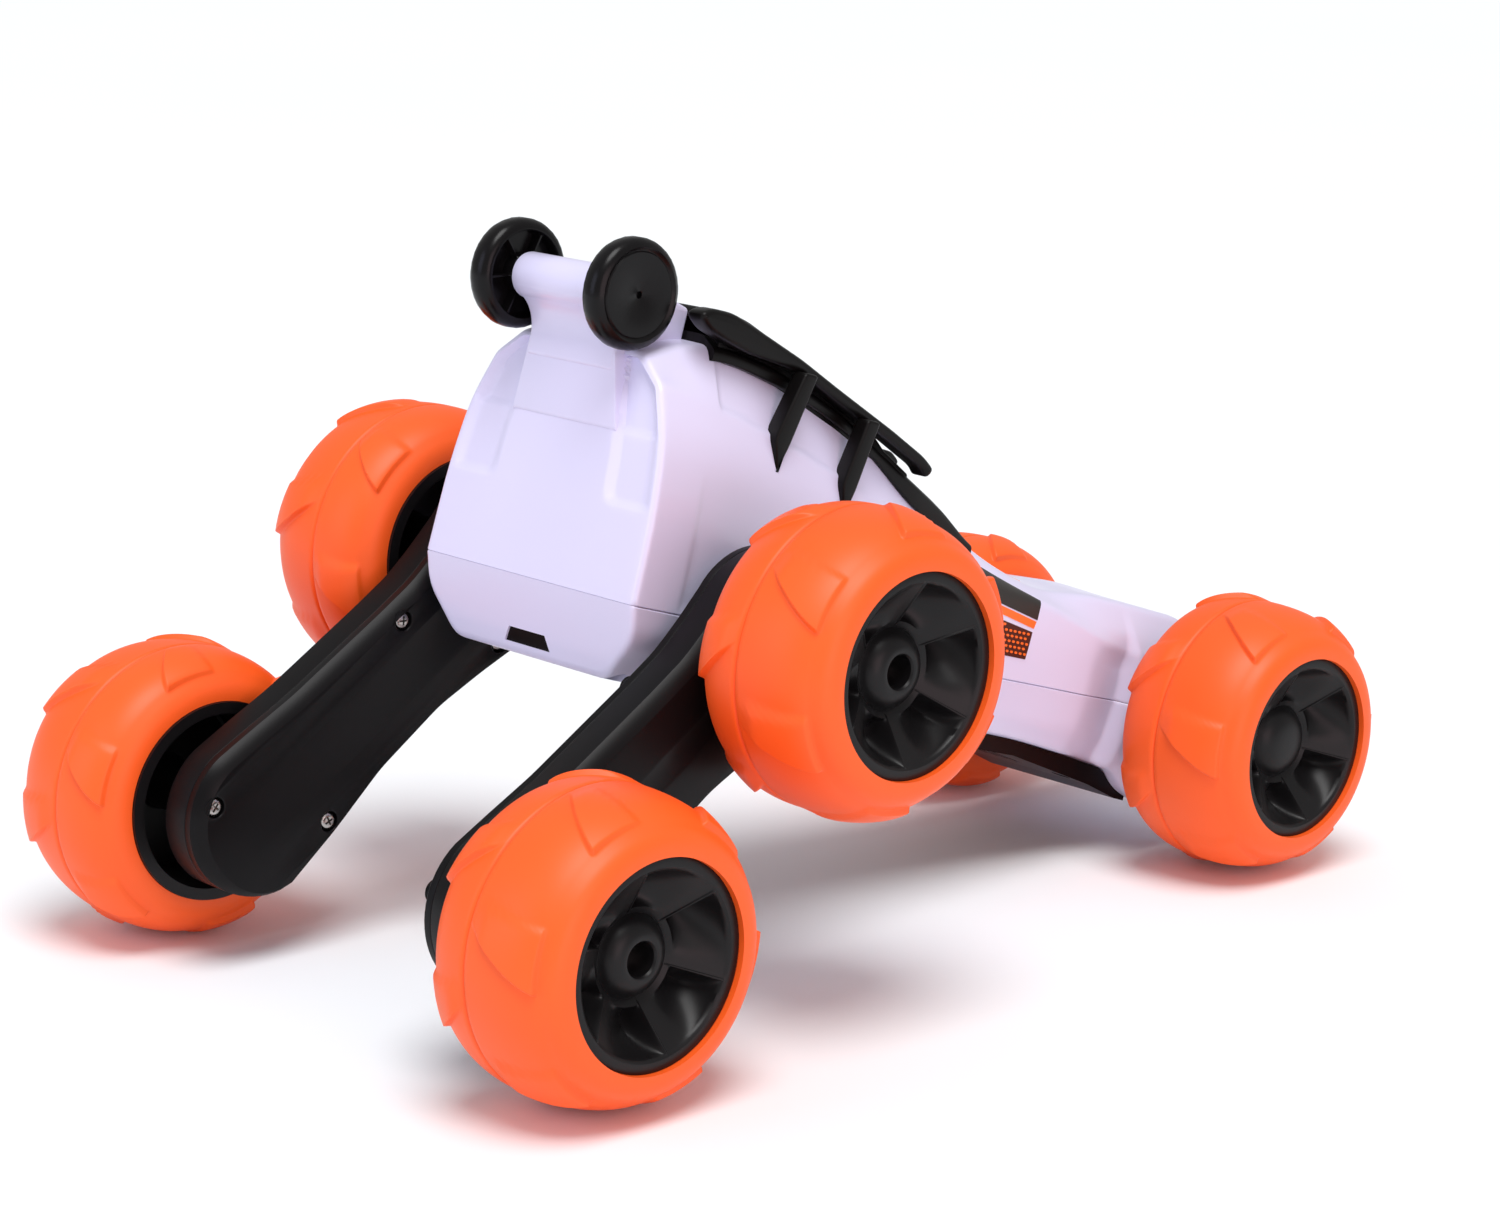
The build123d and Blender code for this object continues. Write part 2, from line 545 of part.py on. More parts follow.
motor_y = (3.5, 19.0)
drive_motor = slab(-24.3, 11.5, *motor_y, -11.5, 11.5) + disc(9.8, 4.5, 18.0, -12, 20)
drive_motor += disc(8.0, motor_y[1], motor_y[1] + 1.2) + disc(shaft_r, motor_y[1], motor_y[1] + 2.8)
save_pair("drive_gearmotor", drive_motor, body_frame)

swing_motor = slab(12.2, 44.0, -13, 13, -11.5, 11.5)
swing_motor += Pos(52, 0, 0) * Rot(0, 90, 0) * Cylinder(10.0, 18)
swing_motor -= disc(layshaft_r + running, -20, 20, layshaft_x)
save("swing_gearmotor", swing_motor, body_frame)
layshaft = disc(layshaft_r, -33.7, 33.7)
layshaft += both(gear(pinion_teeth, *ring_gear_y, phase=0.5))
save("swing_layshaft", Pos(layshaft_x, 0, 0) * layshaft, body_frame)

circuit_board = slab(0, 58, -19, 19, 33.0, 34.6)
for x, y, length, width, height in ((14, 4, 12, 10, 1.6), (34, -6, 8, 8, 1.4), (46, 8, 9, 5, 6.0)):
    circuit_board += slab(x, x + length, y - width / 2, y + width / 2, 34.6, 34.6 + height)
for x, y in ((4, 16), (4, -16), (54, 16), (54, -16)):
    circuit_board -= post(1.4, 30, 40, x, y)
save("circuit_board", circuit_board, body_frame)

cell_r, cell_length = 7.0, 44.0
cells = [Pos(86, y, -5.4) * Rot(0, 90, 0) * Cylinder(cell_r, cell_length) for y in (-6.8, 6.8)]
save("battery_pack", cells[0] + cells[1], body_frame)

speaker = post(speaker_r, -12.6, -10.8, speaker_x) + post(8.0, -10.8, -6.5, speaker_x)
save("speaker", speaker, body_frame)
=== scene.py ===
import json
from math import atan2, cos, pi, radians, sin, sqrt

import bmesh
import bpy
import numpy as np
from mathutils import Matrix, Vector
from mathutils.geometry import tessellate_polygon


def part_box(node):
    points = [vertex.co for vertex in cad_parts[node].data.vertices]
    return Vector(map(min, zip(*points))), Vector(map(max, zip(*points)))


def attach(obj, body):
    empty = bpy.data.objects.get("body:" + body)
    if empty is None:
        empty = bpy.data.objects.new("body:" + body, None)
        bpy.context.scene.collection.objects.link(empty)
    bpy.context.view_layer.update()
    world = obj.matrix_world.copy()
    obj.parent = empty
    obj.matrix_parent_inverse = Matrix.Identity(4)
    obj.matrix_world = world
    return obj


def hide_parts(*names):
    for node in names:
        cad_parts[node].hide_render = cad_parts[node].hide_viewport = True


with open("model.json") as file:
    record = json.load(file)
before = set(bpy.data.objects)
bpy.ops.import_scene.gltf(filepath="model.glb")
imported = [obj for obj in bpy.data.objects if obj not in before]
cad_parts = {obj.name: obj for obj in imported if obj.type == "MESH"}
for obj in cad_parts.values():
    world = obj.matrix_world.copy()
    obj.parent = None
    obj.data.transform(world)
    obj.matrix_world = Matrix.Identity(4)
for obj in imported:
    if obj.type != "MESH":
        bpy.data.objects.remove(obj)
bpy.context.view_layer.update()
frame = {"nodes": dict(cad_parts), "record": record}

# Shapes are drawn in millimetres in the frame of the part that carries them: the body's frame
# and each arm's frame start at the swing axis, and a wheel's or roller's frame at its own axis.

# ---- tyre: balloon section, measured outboard from the crown plane
wheel_r = 36.0
tyre_in, tyre_out = 16.92, 22.76
bead_in_r, bead_out_r = 24.06, 23.43
tyre_wall = 3.0
tyre_power = 2.43
lug_height = 1.4
lug_sweep = 20.0  # how far each lug's sharp edge leans back between its tip and the seam, degrees
lug_end_out, lug_end_in = 18.9, 14.5
seam_depth = 0.65

# ---- hub
hub_face = 21.2
fin_count = 6
eye_r = 3.8
web_low, web_high = 12.8, 20.6
web_radii = (
    9.4, 9.9, 10.4, 10.8, 11.2, 11.7, 12.3, 13.1, 14.0,
    15.0, 16.0, 17.0, 17.9, 18.7, 19.3, 19.8, 20.1, 20.3,
)
pocket_depth = 7.0

# ---- phases of tyres and hubs, degrees
tyre_phase = {
    "mid_right": 34, "rear_right": 0.4, "front_right": 6,
    "mid_left": 54, "rear_left": 23, "front_left": 5,
}
hub_phase = {
    "mid_right": 28, "rear_right": 43, "front_right": 45,
    "mid_left": 12, "rear_left": 50, "front_left": 30,
}

# ---- body: half outlines (half width, height) from the belly edge up to the roof edge
body_stations = [
    (-31.0, [(27, -18), (31.1, -13.4), (37, 0), (36.5, 21.2), (34.1, 37.5), (28.8, 49.5), (20.5, 55.8)]),
    (-14.0, [(27.5, -18), (31.5, -13.4), (37, 0), (36.5, 21.2), (34.3, 37.5), (30, 48.2), (23, 61)]),
    (3.0, [(27, -16.5), (31, -13), (36, 0), (35.6, 20), (33.8, 35), (30.5, 45.2), (24, 60)]),
    (31.0, [(26, -15), (30.5, -12), (35, 0), (34.6, 17), (33, 30), (30.2, 39.4), (23, 54.2)]),
    (61.0, [(24.5, -15), (29.5, -11), (33, 0), (32.5, 13), (31, 23), (28, 31), (21.5, 43)]),
    (76.0, [(24, -15), (28.5, -10.5), (31.5, 0), (31, 12), (30, 20), (27, 27), (20.5, 37.5)]),
    (90.0, [(23.5, -15), (27.5, -10), (30, 0), (29.6, 10), (28.5, 17), (26, 23.5), (19.5, 31.5)]),
    (122.5, [(23, -15), (26, -10), (27, 0), (26.9, 8), (26.6, 14), (25.4, 20.5), (18.5, 24.2)]),
    (150.0, [(23, -17), (26, -10), (27, 0), (26.95, 4), (26.9, 9), (26.2, 14), (18, 25.4)]),
    (179.38, [(23, -20), (26, -12), (27, 0), (26.95, 4), (26.9, 8), (26.2, 12), (18.5, 25)]),
]
corner_cuts = [2.0, 3.0, 0.0, 8.0, 6.0, 1.3, 2.0]
tail_x = -31.0
tail_roll = 1.5
nose_x, drum_r = 179.38, 25.0
shell_wall = 1.8
tail_step_low, tail_step_high = 21.2, 37.5
socket_slot = ((-6.3, -12.2), (6.3, -12.2), (8.0, -15.6), (-8.0, -15.6))
tail_lean_z, tail_lean_x = (-18.2, -13.4, 0.0), (6.2, 4.4, 0.0)

# ---- canopy and roof rails
canopy_x = (-14.0, 3.0, 31.0, 61.0, 76.0, 90.0)
canopy_top = (63.4, 62.2, 55.9, 45.1, 39.9, 32.1)

# ---- tail rollers
roller_r = 12.85
roller_y = (16.3, 22.9)
tube_r = 5.4
tube_at = (-37.5, 67.7)

# ---- swing arm, across the car and along its own frame
arm_inner_y, arm_seam_y, arm_outer_y = 40.0, 45.0, 55.5
arm_length = 89.6
arm_bevel = 3.0
arm_screw_spots = ((13.6, 13.2), (32.7, -11.4), (76.4, 14.0), (98.2, -11.8))


# ---------------------------------------------------------------- places
def middle(node):
    low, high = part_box(node)
    return (low + high) / 2


def axis_point(node):
    """A wheel's axis, on the car's middle plane."""
    point = middle(node)
    return Vector((point.x, 0, point.z))


mid_at = axis_point("mid_tyre_right")
rear_at = axis_point("rear_tyre_right")
front_at = axis_point("front_tyre_right")
body_pitch = atan2(mid_at.z - front_at.z, front_at.x - mid_at.x)
arm_dip = atan2(mid_at.z - rear_at.z, mid_at.x - rear_at.x)
millimetres = Matrix.Scale(0.001, 4)
body_place = Matrix.Translation(mid_at) @ Matrix.Rotation(body_pitch, 4, "Y") @ millimetres
arm_place = Matrix.Translation(mid_at) @ Matrix.Rotation(pi - arm_dip, 4, "Y") @ millimetres


# ---------------------------------------------------------------- mesh building
def make_object(name, verts, faces, place, smooth=32):
    """A mesh object with its normals outwards, shaded smooth except across sharp edges."""
    mesh = bpy.data.meshes.new(name)
    mesh.from_pydata([place @ Vector(v) for v in verts], [], faces)
    work = bmesh.new()
    work.from_mesh(mesh)
    bmesh.ops.remove_doubles(work, verts=work.verts, dist=1e-6)
    bmesh.ops.recalc_face_normals(work, faces=work.faces)
    work.to_mesh(mesh)
    work.free()
    mesh.polygons.foreach_set("use_smooth", [True] * len(mesh.polygons))
    mesh.set_sharp_from_angle(angle=radians(smooth))
    thing = bpy.data.objects.new(name, mesh)
    bpy.context.scene.collection.objects.link(thing)
    return thing


def join(name, things):
    """One object from several, keeping each mesh as it is."""
    work = bmesh.new()
    for thing in things:
        work.from_mesh(thing.data)
        bpy.data.objects.remove(thing)
    mesh = bpy.data.meshes.new(name)
    work.to_mesh(mesh)
    work.free()
    joined = bpy.data.objects.new(name, mesh)
    bpy.context.scene.collection.objects.link(joined)
    return joined


def mesh_only(thing):
    """The object's mesh, for pieces that share it."""
    mesh = thing.data
    bpy.data.objects.remove(thing)
    return mesh


def apply_modifiers(thing, smooth=32):
    """Turns the object's mesh into its evaluated one."""
    bpy.context.view_layer.update()
    evaluated = thing.evaluated_get(bpy.context.evaluated_depsgraph_get())
    mesh = bpy.data.meshes.new_from_object(evaluated)
    thing.modifiers.clear()
    thing.data = mesh
    mesh.polygons.foreach_set("use_smooth", [True] * len(mesh.polygons))
    mesh.set_sharp_from_angle(angle=radians(smooth))
    return thing


def cut(thing, cutters, smooth=32):
    """Cuts closed solids out of the object."""
    for cutter in cutters:
        step = thing.modifiers.new("cut", "BOOLEAN")
        step.operation = "DIFFERENCE"
        step.solver = "EXACT"
        step.object = cutter
    apply_modifiers(thing, smooth)
    for cutter in cutters:
        bpy.data.objects.remove(cutter)
    return thing


def loft(rings, ring_closed=True, path_closed=False, caps=True):
    """Vertices and faces that join rings of equal length, one after the other."""
    count = len(rings[0])
    verts = [point for ring in rings for point in ring]
    faces = []
    spans = count if ring_closed else count - 1
    steps = len(rings) if path_closed else len(rings) - 1
    for i in range(steps):
        a, b = i * count, (i + 1) % len(rings) * count
        for j in range(spans):
            k = (j + 1) % count
            faces.append((a + j, a + k, b + k, b + j))
    if caps and not path_closed:
        faces.append(tuple(range(count - 1, -1, -1)))
        faces.append(tuple(range((len(rings) - 1) * count, len(rings) * count)))
    return verts, faces


def inset(loop, amounts):
    """Moves each corner of a counter-clockwise loop inwards by its own amount."""
    moved = []
    for i, (here, amount) in enumerate(zip(loop, amounts)):
        here = np.array(here, float)
        arriving = here - loop[i - 1]
        leaving = np.array(loop[(i + 1) % len(loop)]) - here
        arriving /= np.linalg.norm(arriving)
        leaving /= np.linalg.norm(leaving)
        normal_a = np.array((-arriving[1], arriving[0]))
        normal_b = np.array((-leaving[1], leaving[0]))
        moved.append(tuple(here + (normal_a + normal_b) * amount / max(0.4, 1 + normal_a @ normal_b)))
    return moved


def soften(points, cuts, steps=5, closed=True):
    """Replaces corners with short curves that start a cut length before each corner."""
    result = []
    count = len(points)
    for i, (here, length) in enumerate(zip(points, cuts)):
        here = np.array(here, float)
        if length <= 0 or (not closed and i in (0, count - 1)):
            result.append(tuple(here))
            continue
        back = np.array(points[i - 1], float) - here
        ahead = np.array(points[(i + 1) % count], float) - here
        back_length, ahead_length = np.linalg.norm(back), np.linalg.norm(ahead)
        length = min(length, 0.48 * back_length, 0.48 * ahead_length)
        start, end = here + back / back_length * length, here + ahead / ahead_length * length
        for t in np.linspace(0, 1, steps):
            result.append(tuple((1 - t) ** 2 * start + 2 * t * (1 - t) * here + t * t * end))
    return result


def anticlockwise(loop):
    area = sum(a[0] * b[1] - b[0] * a[1] for a, b in zip(loop, loop[1:] + loop[:1]))
    return loop if area > 0 else loop[::-1]


def circle(x, z, radius, count=32):
    turns = [2 * pi * i / count for i in range(count)]
    return [(x + radius * cos(turn), z + radius * sin(turn)) for turn in turns]


def smoothstep(low, high, value):
    t = np.clip((value - low) / (high - low), 0, 1)
    return t * t * (3 - 2 * t)


round_edge = [(1 - sin(radians(t)), 1 - cos(radians(t))) for t in (0, 22, 45, 67, 90)]
flat_edge = [(1.0, 0.0), (0.96, 0.015), (0.04, 0.94), (0.0, 1.0)]


def plate(name, outline, low, high, place, rolls=(0.8, 0.8), holes=(), hole_roll=0.15,
          edges=(round_edge, round_edge)):
    """Flat piece: an outline of (x, z) corners between two planes across the car, with shaped edges."""
    verts, faces, cap_loops = [], [], ([], [])
    for number, loop in enumerate((outline, *holes)):
        loop = anticlockwise(list(loop))
        low_roll, high_roll = rolls if number == 0 else (hole_roll, hole_roll)
        low_roll, high_roll = np.full(len(loop), 1.0) * low_roll, np.full(len(loop), 1.0) * high_roll
        if number:
            loop = loop[::-1]
        rings = []
        for share, depth in edges[0]:
            ring = inset(loop, low_roll * share)
            rings.append([(x, low + roll * depth, z) for (x, z), roll in zip(ring, low_roll)])
        for share, depth in reversed(edges[1]):
            ring = inset(loop, high_roll * share)
            rings.append([(x, high - roll * depth, z) for (x, z), roll in zip(ring, high_roll)])
        ring_verts, ring_faces = loft(rings, caps=False)
        first = len(verts)
        verts += ring_verts
        faces += [tuple(first + i for i in face) for face in ring_faces]
        count = len(loop)
        cap_loops[0].append([first + i for i in range(count)])
        cap_loops[1].append([first + (len(rings) - 1) * count + i for i in range(count)])
    for loops in cap_loops:
        numbers = [i for loop in loops for i in loop]
        corners = [[Vector((verts[i][0], verts[i][2], 0)) for i in loop] for loop in loops]
        faces += [tuple(numbers[i] for i in triangle) for triangle in tessellate_polygon(corners)]
    return make_object(name, verts, faces, place)


def post(name, radius, low, high, spot, place):
    """Plain upright cutter, for holes."""
    rings = []
    for level in (low, high):
        rings.append([(spot[0] + a, spot[1] + b, level) for a, b in circle(0, 0, radius)])
    return make_object(name, *loft(rings), place)


# ---------------------------------------------------------------- materials
def material(name, colour, roughness, variation=0.03, grain=0.0, grain_size=0.0006, coat=0.0,
             metallic=0.0, specular=0.5, subsurface=0.0, mottle=0.02, glass=False):
    """Moulded-plastic style finish: slow colour and gloss variation, and a fine surface grain."""
    made = bpy.data.materials.new(name)
    made.use_nodes = True
    nodes, links = made.node_tree.nodes, made.node_tree.links
    shader = nodes["Principled BSDF"]
    shader.inputs["Metallic"].default_value = metallic
    shader.inputs["Specular IOR Level"].default_value = specular
    shader.inputs["Coat Weight"].default_value = coat
    shader.inputs["Coat Roughness"].default_value = 0.12
    if subsurface:
        shader.inputs["Subsurface Weight"].default_value = subsurface
        shader.inputs["Subsurface Radius"].default_value = (1.0, 0.45, 0.25)
        shader.inputs["Subsurface Scale"].default_value = 0.002
    if glass:
        shader.inputs["Transmission Weight"].default_value = 1.0
        shader.inputs["IOR"].default_value = 1.49
    place = nodes.new("ShaderNodeTexCoord")
    slow = nodes.new("ShaderNodeTexNoise")
    slow.inputs["Scale"].default_value = 1 / mottle
    slow.inputs["Detail"].default_value = 3
    links.new(place.outputs["Object"], slow.inputs["Vector"])
    tint = nodes.new("ShaderNodeMix")
    tint.data_type = "RGBA"
    tint.inputs[6].default_value = (*[c * (1 - variation) for c in colour], 1)
    tint.inputs[7].default_value = (*[min(1, c * (1 + variation)) for c in colour], 1)
    links.new(slow.outputs["Fac"], tint.inputs["Factor"])
    links.new(tint.outputs[2], shader.inputs["Base Color"])
    gloss = nodes.new("ShaderNodeMapRange")
    gloss.inputs["To Min"].default_value = roughness * 0.9
    gloss.inputs["To Max"].default_value = min(1, roughness * 1.1)
    links.new(slow.outputs["Fac"], gloss.inputs["Value"])
    links.new(gloss.outputs["Result"], shader.inputs["Roughness"])
    if grain:
        fine = nodes.new("ShaderNodeTexNoise")
        fine.inputs["Scale"].default_value = 1 / grain_size
        fine.inputs["Detail"].default_value = 2
        links.new(place.outputs["Object"], fine.inputs["Vector"])
        bump = nodes.new("ShaderNodeBump")
        bump.inputs["Strength"].default_value = grain
        bump.inputs["Distance"].default_value = 0.00005
        links.new(fine.outputs["Fac"], bump.inputs["Height"])
        links.new(bump.outputs["Normal"], shader.inputs["Normal"])
    return made


# White plastic with painted light colour: the lavender cast of the base colour is the bluish tint of the
# lighting, laid over the plastic's own white.
white_plastic = material("white_plastic", (0.72, 0.69, 0.91), 0.30, 0.012, 0.05, coat=0.15)
orange_rubber = material("orange_rubber", (1.0, 0.115, 0.012), 0.46, 0.03, 0.25, 0.0004, specular=0.4)
black_plastic = material("black_plastic", (0.004, 0.0035, 0.004), 0.34, 0.15, 0.12, 0.0005, specular=0.14)
arm_plastic = material("arm_plastic", (0.004, 0.0035, 0.004), 0.33, 0.15, 0.15, 0.0005, specular=0.14)
hub_plastic = material("hub_plastic", (0.006, 0.0055, 0.006), 0.36, 0.15, 0.10, 0.0005, specular=0.25)
canopy_black = material("canopy_black", (0.004, 0.0035, 0.0035), 0.33, 0.12, 0.15, 0.0005, specular=0.15)
roller_black = material("roller_black", (0.004, 0.0035, 0.004), 0.26, 0.12, 0.06, specular=0.18)
nickel = material("nickel", (0.45, 0.43, 0.41), 0.26, 0.05, 0.1, 0.0003, metallic=1.0)
gear_nylon = material("gear_nylon", (0.82, 0.80, 0.74), 0.45, 0.03, 0.1, subsurface=0.1)
clear_lens = material("clear_lens", (0.95, 0.96, 1.0), 0.06, 0.01, glass=True)
led_body = material("led_body", (0.93, 0.93, 0.86), 0.15, 0.03)
speaker_black = material("speaker_black", (0.02, 0.02, 0.022), 0.6, 0.1, 0.3)
board_green = material("board_green", (0.02, 0.14, 0.05), 0.35, 0.08, 0.1)
battery_blue = material("battery_blue", (0.03, 0.10, 0.35), 0.3, 0.05)
sticker_black = material("sticker_black", (0.017, 0.014, 0.012), 0.38, 0.08)
sticker_orange = material("sticker_orange", (1.0, 0.16, 0.02), 0.36, 0.02)
mesh_dark = material("mesh_dark", (0.045, 0.006, 0.003), 0.4, 0.1)

slot_material = {
    "body_white": white_plastic,
    "black_plastic": black_plastic,
    "hub_black": hub_plastic,
    "tyre_orange": orange_rubber,
    "steel": nickel,
    "gear_nylon": gear_nylon,
    "lens": clear_lens,
    "led": led_body,
    "speaker_black": speaker_black,
    "circuit_board": board_green,
    "battery_wrap": battery_blue,
    "socket_metal": nickel,
}
node_slot = {part["node"]: part["material_slot"] for part in frame["record"]["subparts"]}
for node, thing in frame["nodes"].items():
    thing.data.materials.clear()
    thing.data.materials.append(slot_material[node_slot[node]])


def dress(thing, finish, body, slot, *nodes):
    """Gives a piece its finish and its body, and hides the CAD nodes that it stands for."""
    thing.data.materials.clear()
    thing.data.materials.append(finish)
    for face in thing.data.polygons:
        face.material_index = 0
    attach(thing, body)
    if nodes:
        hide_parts(*nodes)
    return thing


# ---------------------------------------------------------------- wheels
def tyre_section(crown, side_in, side_out, count):
    """Points (s, r) over the crown, evenly spaced, from the inboard bead to the outboard one."""
    dense = []
    for i in range(-200, 201):
        turn = pi / 2 * (1 - abs(i) / 200)
        side, bead = (-side_in, bead_in_r) if i < 0 else (side_out, bead_out_r)
        radius = bead + (crown - bead) * sin(turn) ** (2 / tyre_power)
        dense.append((side * cos(turn) ** (2 / tyre_power), radius))
    dense = np.array(dense)
    along = np.concatenate(([0], np.cumsum(np.linalg.norm(np.diff(dense, axis=0), axis=1))))
    wanted = np.linspace(0, along[-1], count)
    return dense, along, wanted


def lug_rise(turn, across):
    """Height, 0 to 1, of one lug: degrees past its sharp edge, and 0 at the seam to 1 at its tip."""
    reach = 8.0 + 18.0 * across
    turn = (turn + 57.0) % 60.0 - 57.0
    along = np.clip(1 + turn / reach, 0, 1)
    ramp = 0.5 * smoothstep(0.0, 0.14, along) + 0.5 * along
    drop = 1 - smoothstep(0.0, 1.5, turn)
    return ramp * drop * smoothstep(0.03, 0.34, across)


def tyre_mesh(name, side, crown_y):
    """Soft tyre with two rows of swept, pointed lugs either side of a moulding seam."""
    dense, along, wanted = tyre_section(wheel_r, tyre_in, tyre_out, 66)
    marks = [np.interp(s, dense[:, 0], along) for s in (-0.7, -0.35, 0, 0.35, 0.7)]
    for end in (lug_end_out, -lug_end_in):
        marks += [np.interp(end + step, dense[:, 0], along) for step in (-0.5, -0.2, 0.2, 0.5)]
    middle_mark = marks[2]
    wanted = [w for w in wanted if min(abs(w - m) for m in marks) > 0.35]
    wanted = np.array(sorted(list(wanted) + marks))
    section = np.column_stack([np.interp(wanted, along, dense[:, axis]) for axis in (0, 1)])
    tangent = np.gradient(section, axis=0)
    tangent /= np.linalg.norm(tangent, axis=1)[:, None]
    normal = np.column_stack((-tangent[:, 1], tangent[:, 0]))
    half_pitch = [-1.0, -0.4, 0.0, 0.5, 1.0, 1.5, 2.2, 3.4, 4.2, 5.2, 6.6, 8.0, 9.6, 11.5]
    half_pitch += [14.0, 16.5, 19.0, 21.5, 24.0, 26.3, 28.0]
    turns = np.array([30.0 * i + offset for i in range(12) for offset in half_pitch])
    rings = []
    for (s, r), (ns, nr), mark in zip(section, normal, wanted):
        end = lug_end_out if s >= 0 else lug_end_in
        across = min(1.0, abs(s) / end)
        lean = -lug_sweep * (1 - across) ** 1.15
        stagger = 0.0 if s >= 0 else 30.0
        rise = lug_rise(turns - stagger, across)
        rise = rise * (1 - smoothstep(end - 0.35, end + 0.35, abs(s)))
        fade = 1 - 0.8 * smoothstep(end + 0.5, end + 4, abs(s))
        depth = lug_height * fade + seam_depth * max(0.0, 1 - abs(mark - middle_mark) / 0.5)
        lift = lug_height * rise - depth
        angle = np.radians(turns + lean)
        radius = r + nr * lift
        y = side * (crown_y + s + ns * lift)
        rings.append([(a, b, c) for a, b, c in zip(radius * np.cos(angle), y, radius * np.sin(angle))])
    dense, along, wanted = tyre_section(wheel_r - tyre_wall, tyre_in - tyre_wall, tyre_out - tyre_wall, 14)
    for w in wanted[::-1]:
        s, r = np.interp(w, along, dense[:, 0]), np.interp(w, along, dense[:, 1])
        angle = np.radians(turns - lug_sweep * 0.5)
        rings.append([(r * cos(a), side * (crown_y + s), r * sin(a)) for a in angle])
    verts, faces = loft(rings, path_closed=True)
    return mesh_only(make_object(name, verts, faces, millimetres, smooth=60))


def hub_profile(closed, bore_start):
    """Hub section as (s, r): dome, dished web, lip, drum and boss."""
    if closed:
        dome = [(16.5, 0.02), (16.45, 2.0), (16.3, 3.6), (16.0, 5.2), (15.5, 6.5)]
        dome += [(14.8, 7.6), (13.9, 8.5), (13.2, 9.05)]
    else:
        dome = [(6.5, 1.4), (6.5, eye_r), (15.9, eye_r), (16.35, 4.15), (16.45, 4.6), (16.35, 5.4)]
        dome += [(16.0, 6.4), (15.4, 7.3), (14.6, 8.1), (13.8, 8.7), (13.2, 9.05)]
    web = [(web_low + (web_high - web_low) * (r - 9.4) / 10.9, r) for r in web_radii]
    lip = [(20.9, 20.6), (hub_face, 21.0), (hub_face, 22.9), (21.0, 23.3), (20.6, bead_out_r)]
    back = [(19.8, bead_out_r), (19.7, 22.8), (-tyre_in + 3, 22.8), (-tyre_in + 3, bead_in_r - 0.1)]
    back += [(-tyre_in, bead_in_r - 0.1), (-tyre_in, 21.2), (-tyre_in + 0.3, 21.0)]
    back += [(5.4, 21.0), (6.0, 20.3)]
    back += [(6.0, 7.1), (5.4, 6.5), (bore_start, 6.5), (bore_start, 2.55), (4.0, 2.55)]
    back += [(4.0, 0.02)] if closed else [(4.0, 1.4)]
    return dome, web, lip, back


def pocket(within, r):
    """Depth of a scooped pocket in the web: its floor falls towards the fin, then climbs a steep wall."""
    span = float(np.clip((r - 11.0) / (20.25 - 11.0), 0, 1))
    across = sin(pi * span) ** 0.6
    floor = float(np.clip((within - 10) / 36, 0, 1)) ** 1.1
    wall = 1 - float(np.clip((within - 46.5) / 8.7, 0, 1)) ** 1.5
    return pocket_depth * across * floor * wall


def hub_mesh(name, side, crown_y, closed, bore_start):
    """Hub with a dished web and six scooped pockets, each ending at a thin fin that runs out to the lip."""
    dome, web, lip, back = hub_profile(closed, bore_start)
    sector = 360 / fin_count
    offsets = [0, 6, 12, 17, 22, 27, 32, 37, 41, 44, 46.5, 48.5, 50.5, 52.5, 54, 55.2, 55.8, 56.6, 57.4]
    turns = [sector * i + offset for i in range(fin_count) for offset in offsets]
    rings = []
    for part in (dome, web, lip, back):
        for s, r in part:
            ring = []
            for turn in turns:
                lift = 0.0
                if part is web and r > 10:
                    within = turn % sector
                    lift = 0.35 * float(55.5 < within < 57) - pocket(within, r)
                angle = radians(turn)
                ring.append((r * cos(angle), side * (crown_y + s + lift), r * sin(angle)))
            rings.append(ring)
    verts, faces = loft(rings, path_closed=not closed, caps=closed)
    return mesh_only(make_object(name, verts, faces, millimetres, smooth=35))


def place_wheel(name, mesh, at, phase):
    """One wheel piece from a pattern mesh, turned to its phase about its axis."""
    turned = mesh.copy()
    turned.transform(Matrix.Rotation(radians(-phase), 4, "Y"))
    thing = bpy.data.objects.new(name, turned)
    bpy.context.scene.collection.objects.link(thing)
    thing.matrix_world = Matrix.Translation(at)
    return thing


def crown_of(node):
    """How far out from the car's middle a tyre's crown lies, from the tyre's box."""
    return max(abs(corner.y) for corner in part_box(node)) * 1000 - tyre_out


for side, word in ((1, "left"), (-1, "right")):
    arm_crown = crown_of(f"mid_tyre_{word}")
    front_crown = crown_of(f"front_tyre_{word}")
    tyres = {
        "arm": tyre_mesh(f"arm_tyre_{word}", side, arm_crown),
        "front": tyre_mesh(f"front_tyre_{word}", side, front_crown),
    }
    hubs = {
        "arm": hub_mesh(f"arm_hub_{word}", side, arm_crown, False, 57.0 - arm_crown),
        "front": hub_mesh(f"front_hub_{word}", side, front_crown, True, 28.8 - front_crown),
    }
    for end, at in (("mid", mid_at), ("rear", rear_at), ("front", front_at)):
        kind = "front" if end == "front" else "arm"
        body = f"{word}_{end}_wheel"
        tyre = place_wheel(f"tyre_{end}_{word}", tyres[kind], at, tyre_phase[f"{end}_{word}"])
        dress(tyre, orange_rubber, body, "tyre_orange", f"{end}_tyre_{word}")
        hub = place_wheel(f"hub_{end}_{word}", hubs[kind], at, hub_phase[f"{end}_{word}"])
        dress(hub, hub_plastic, body, "hub_black", f"{end}_hub_{word}")


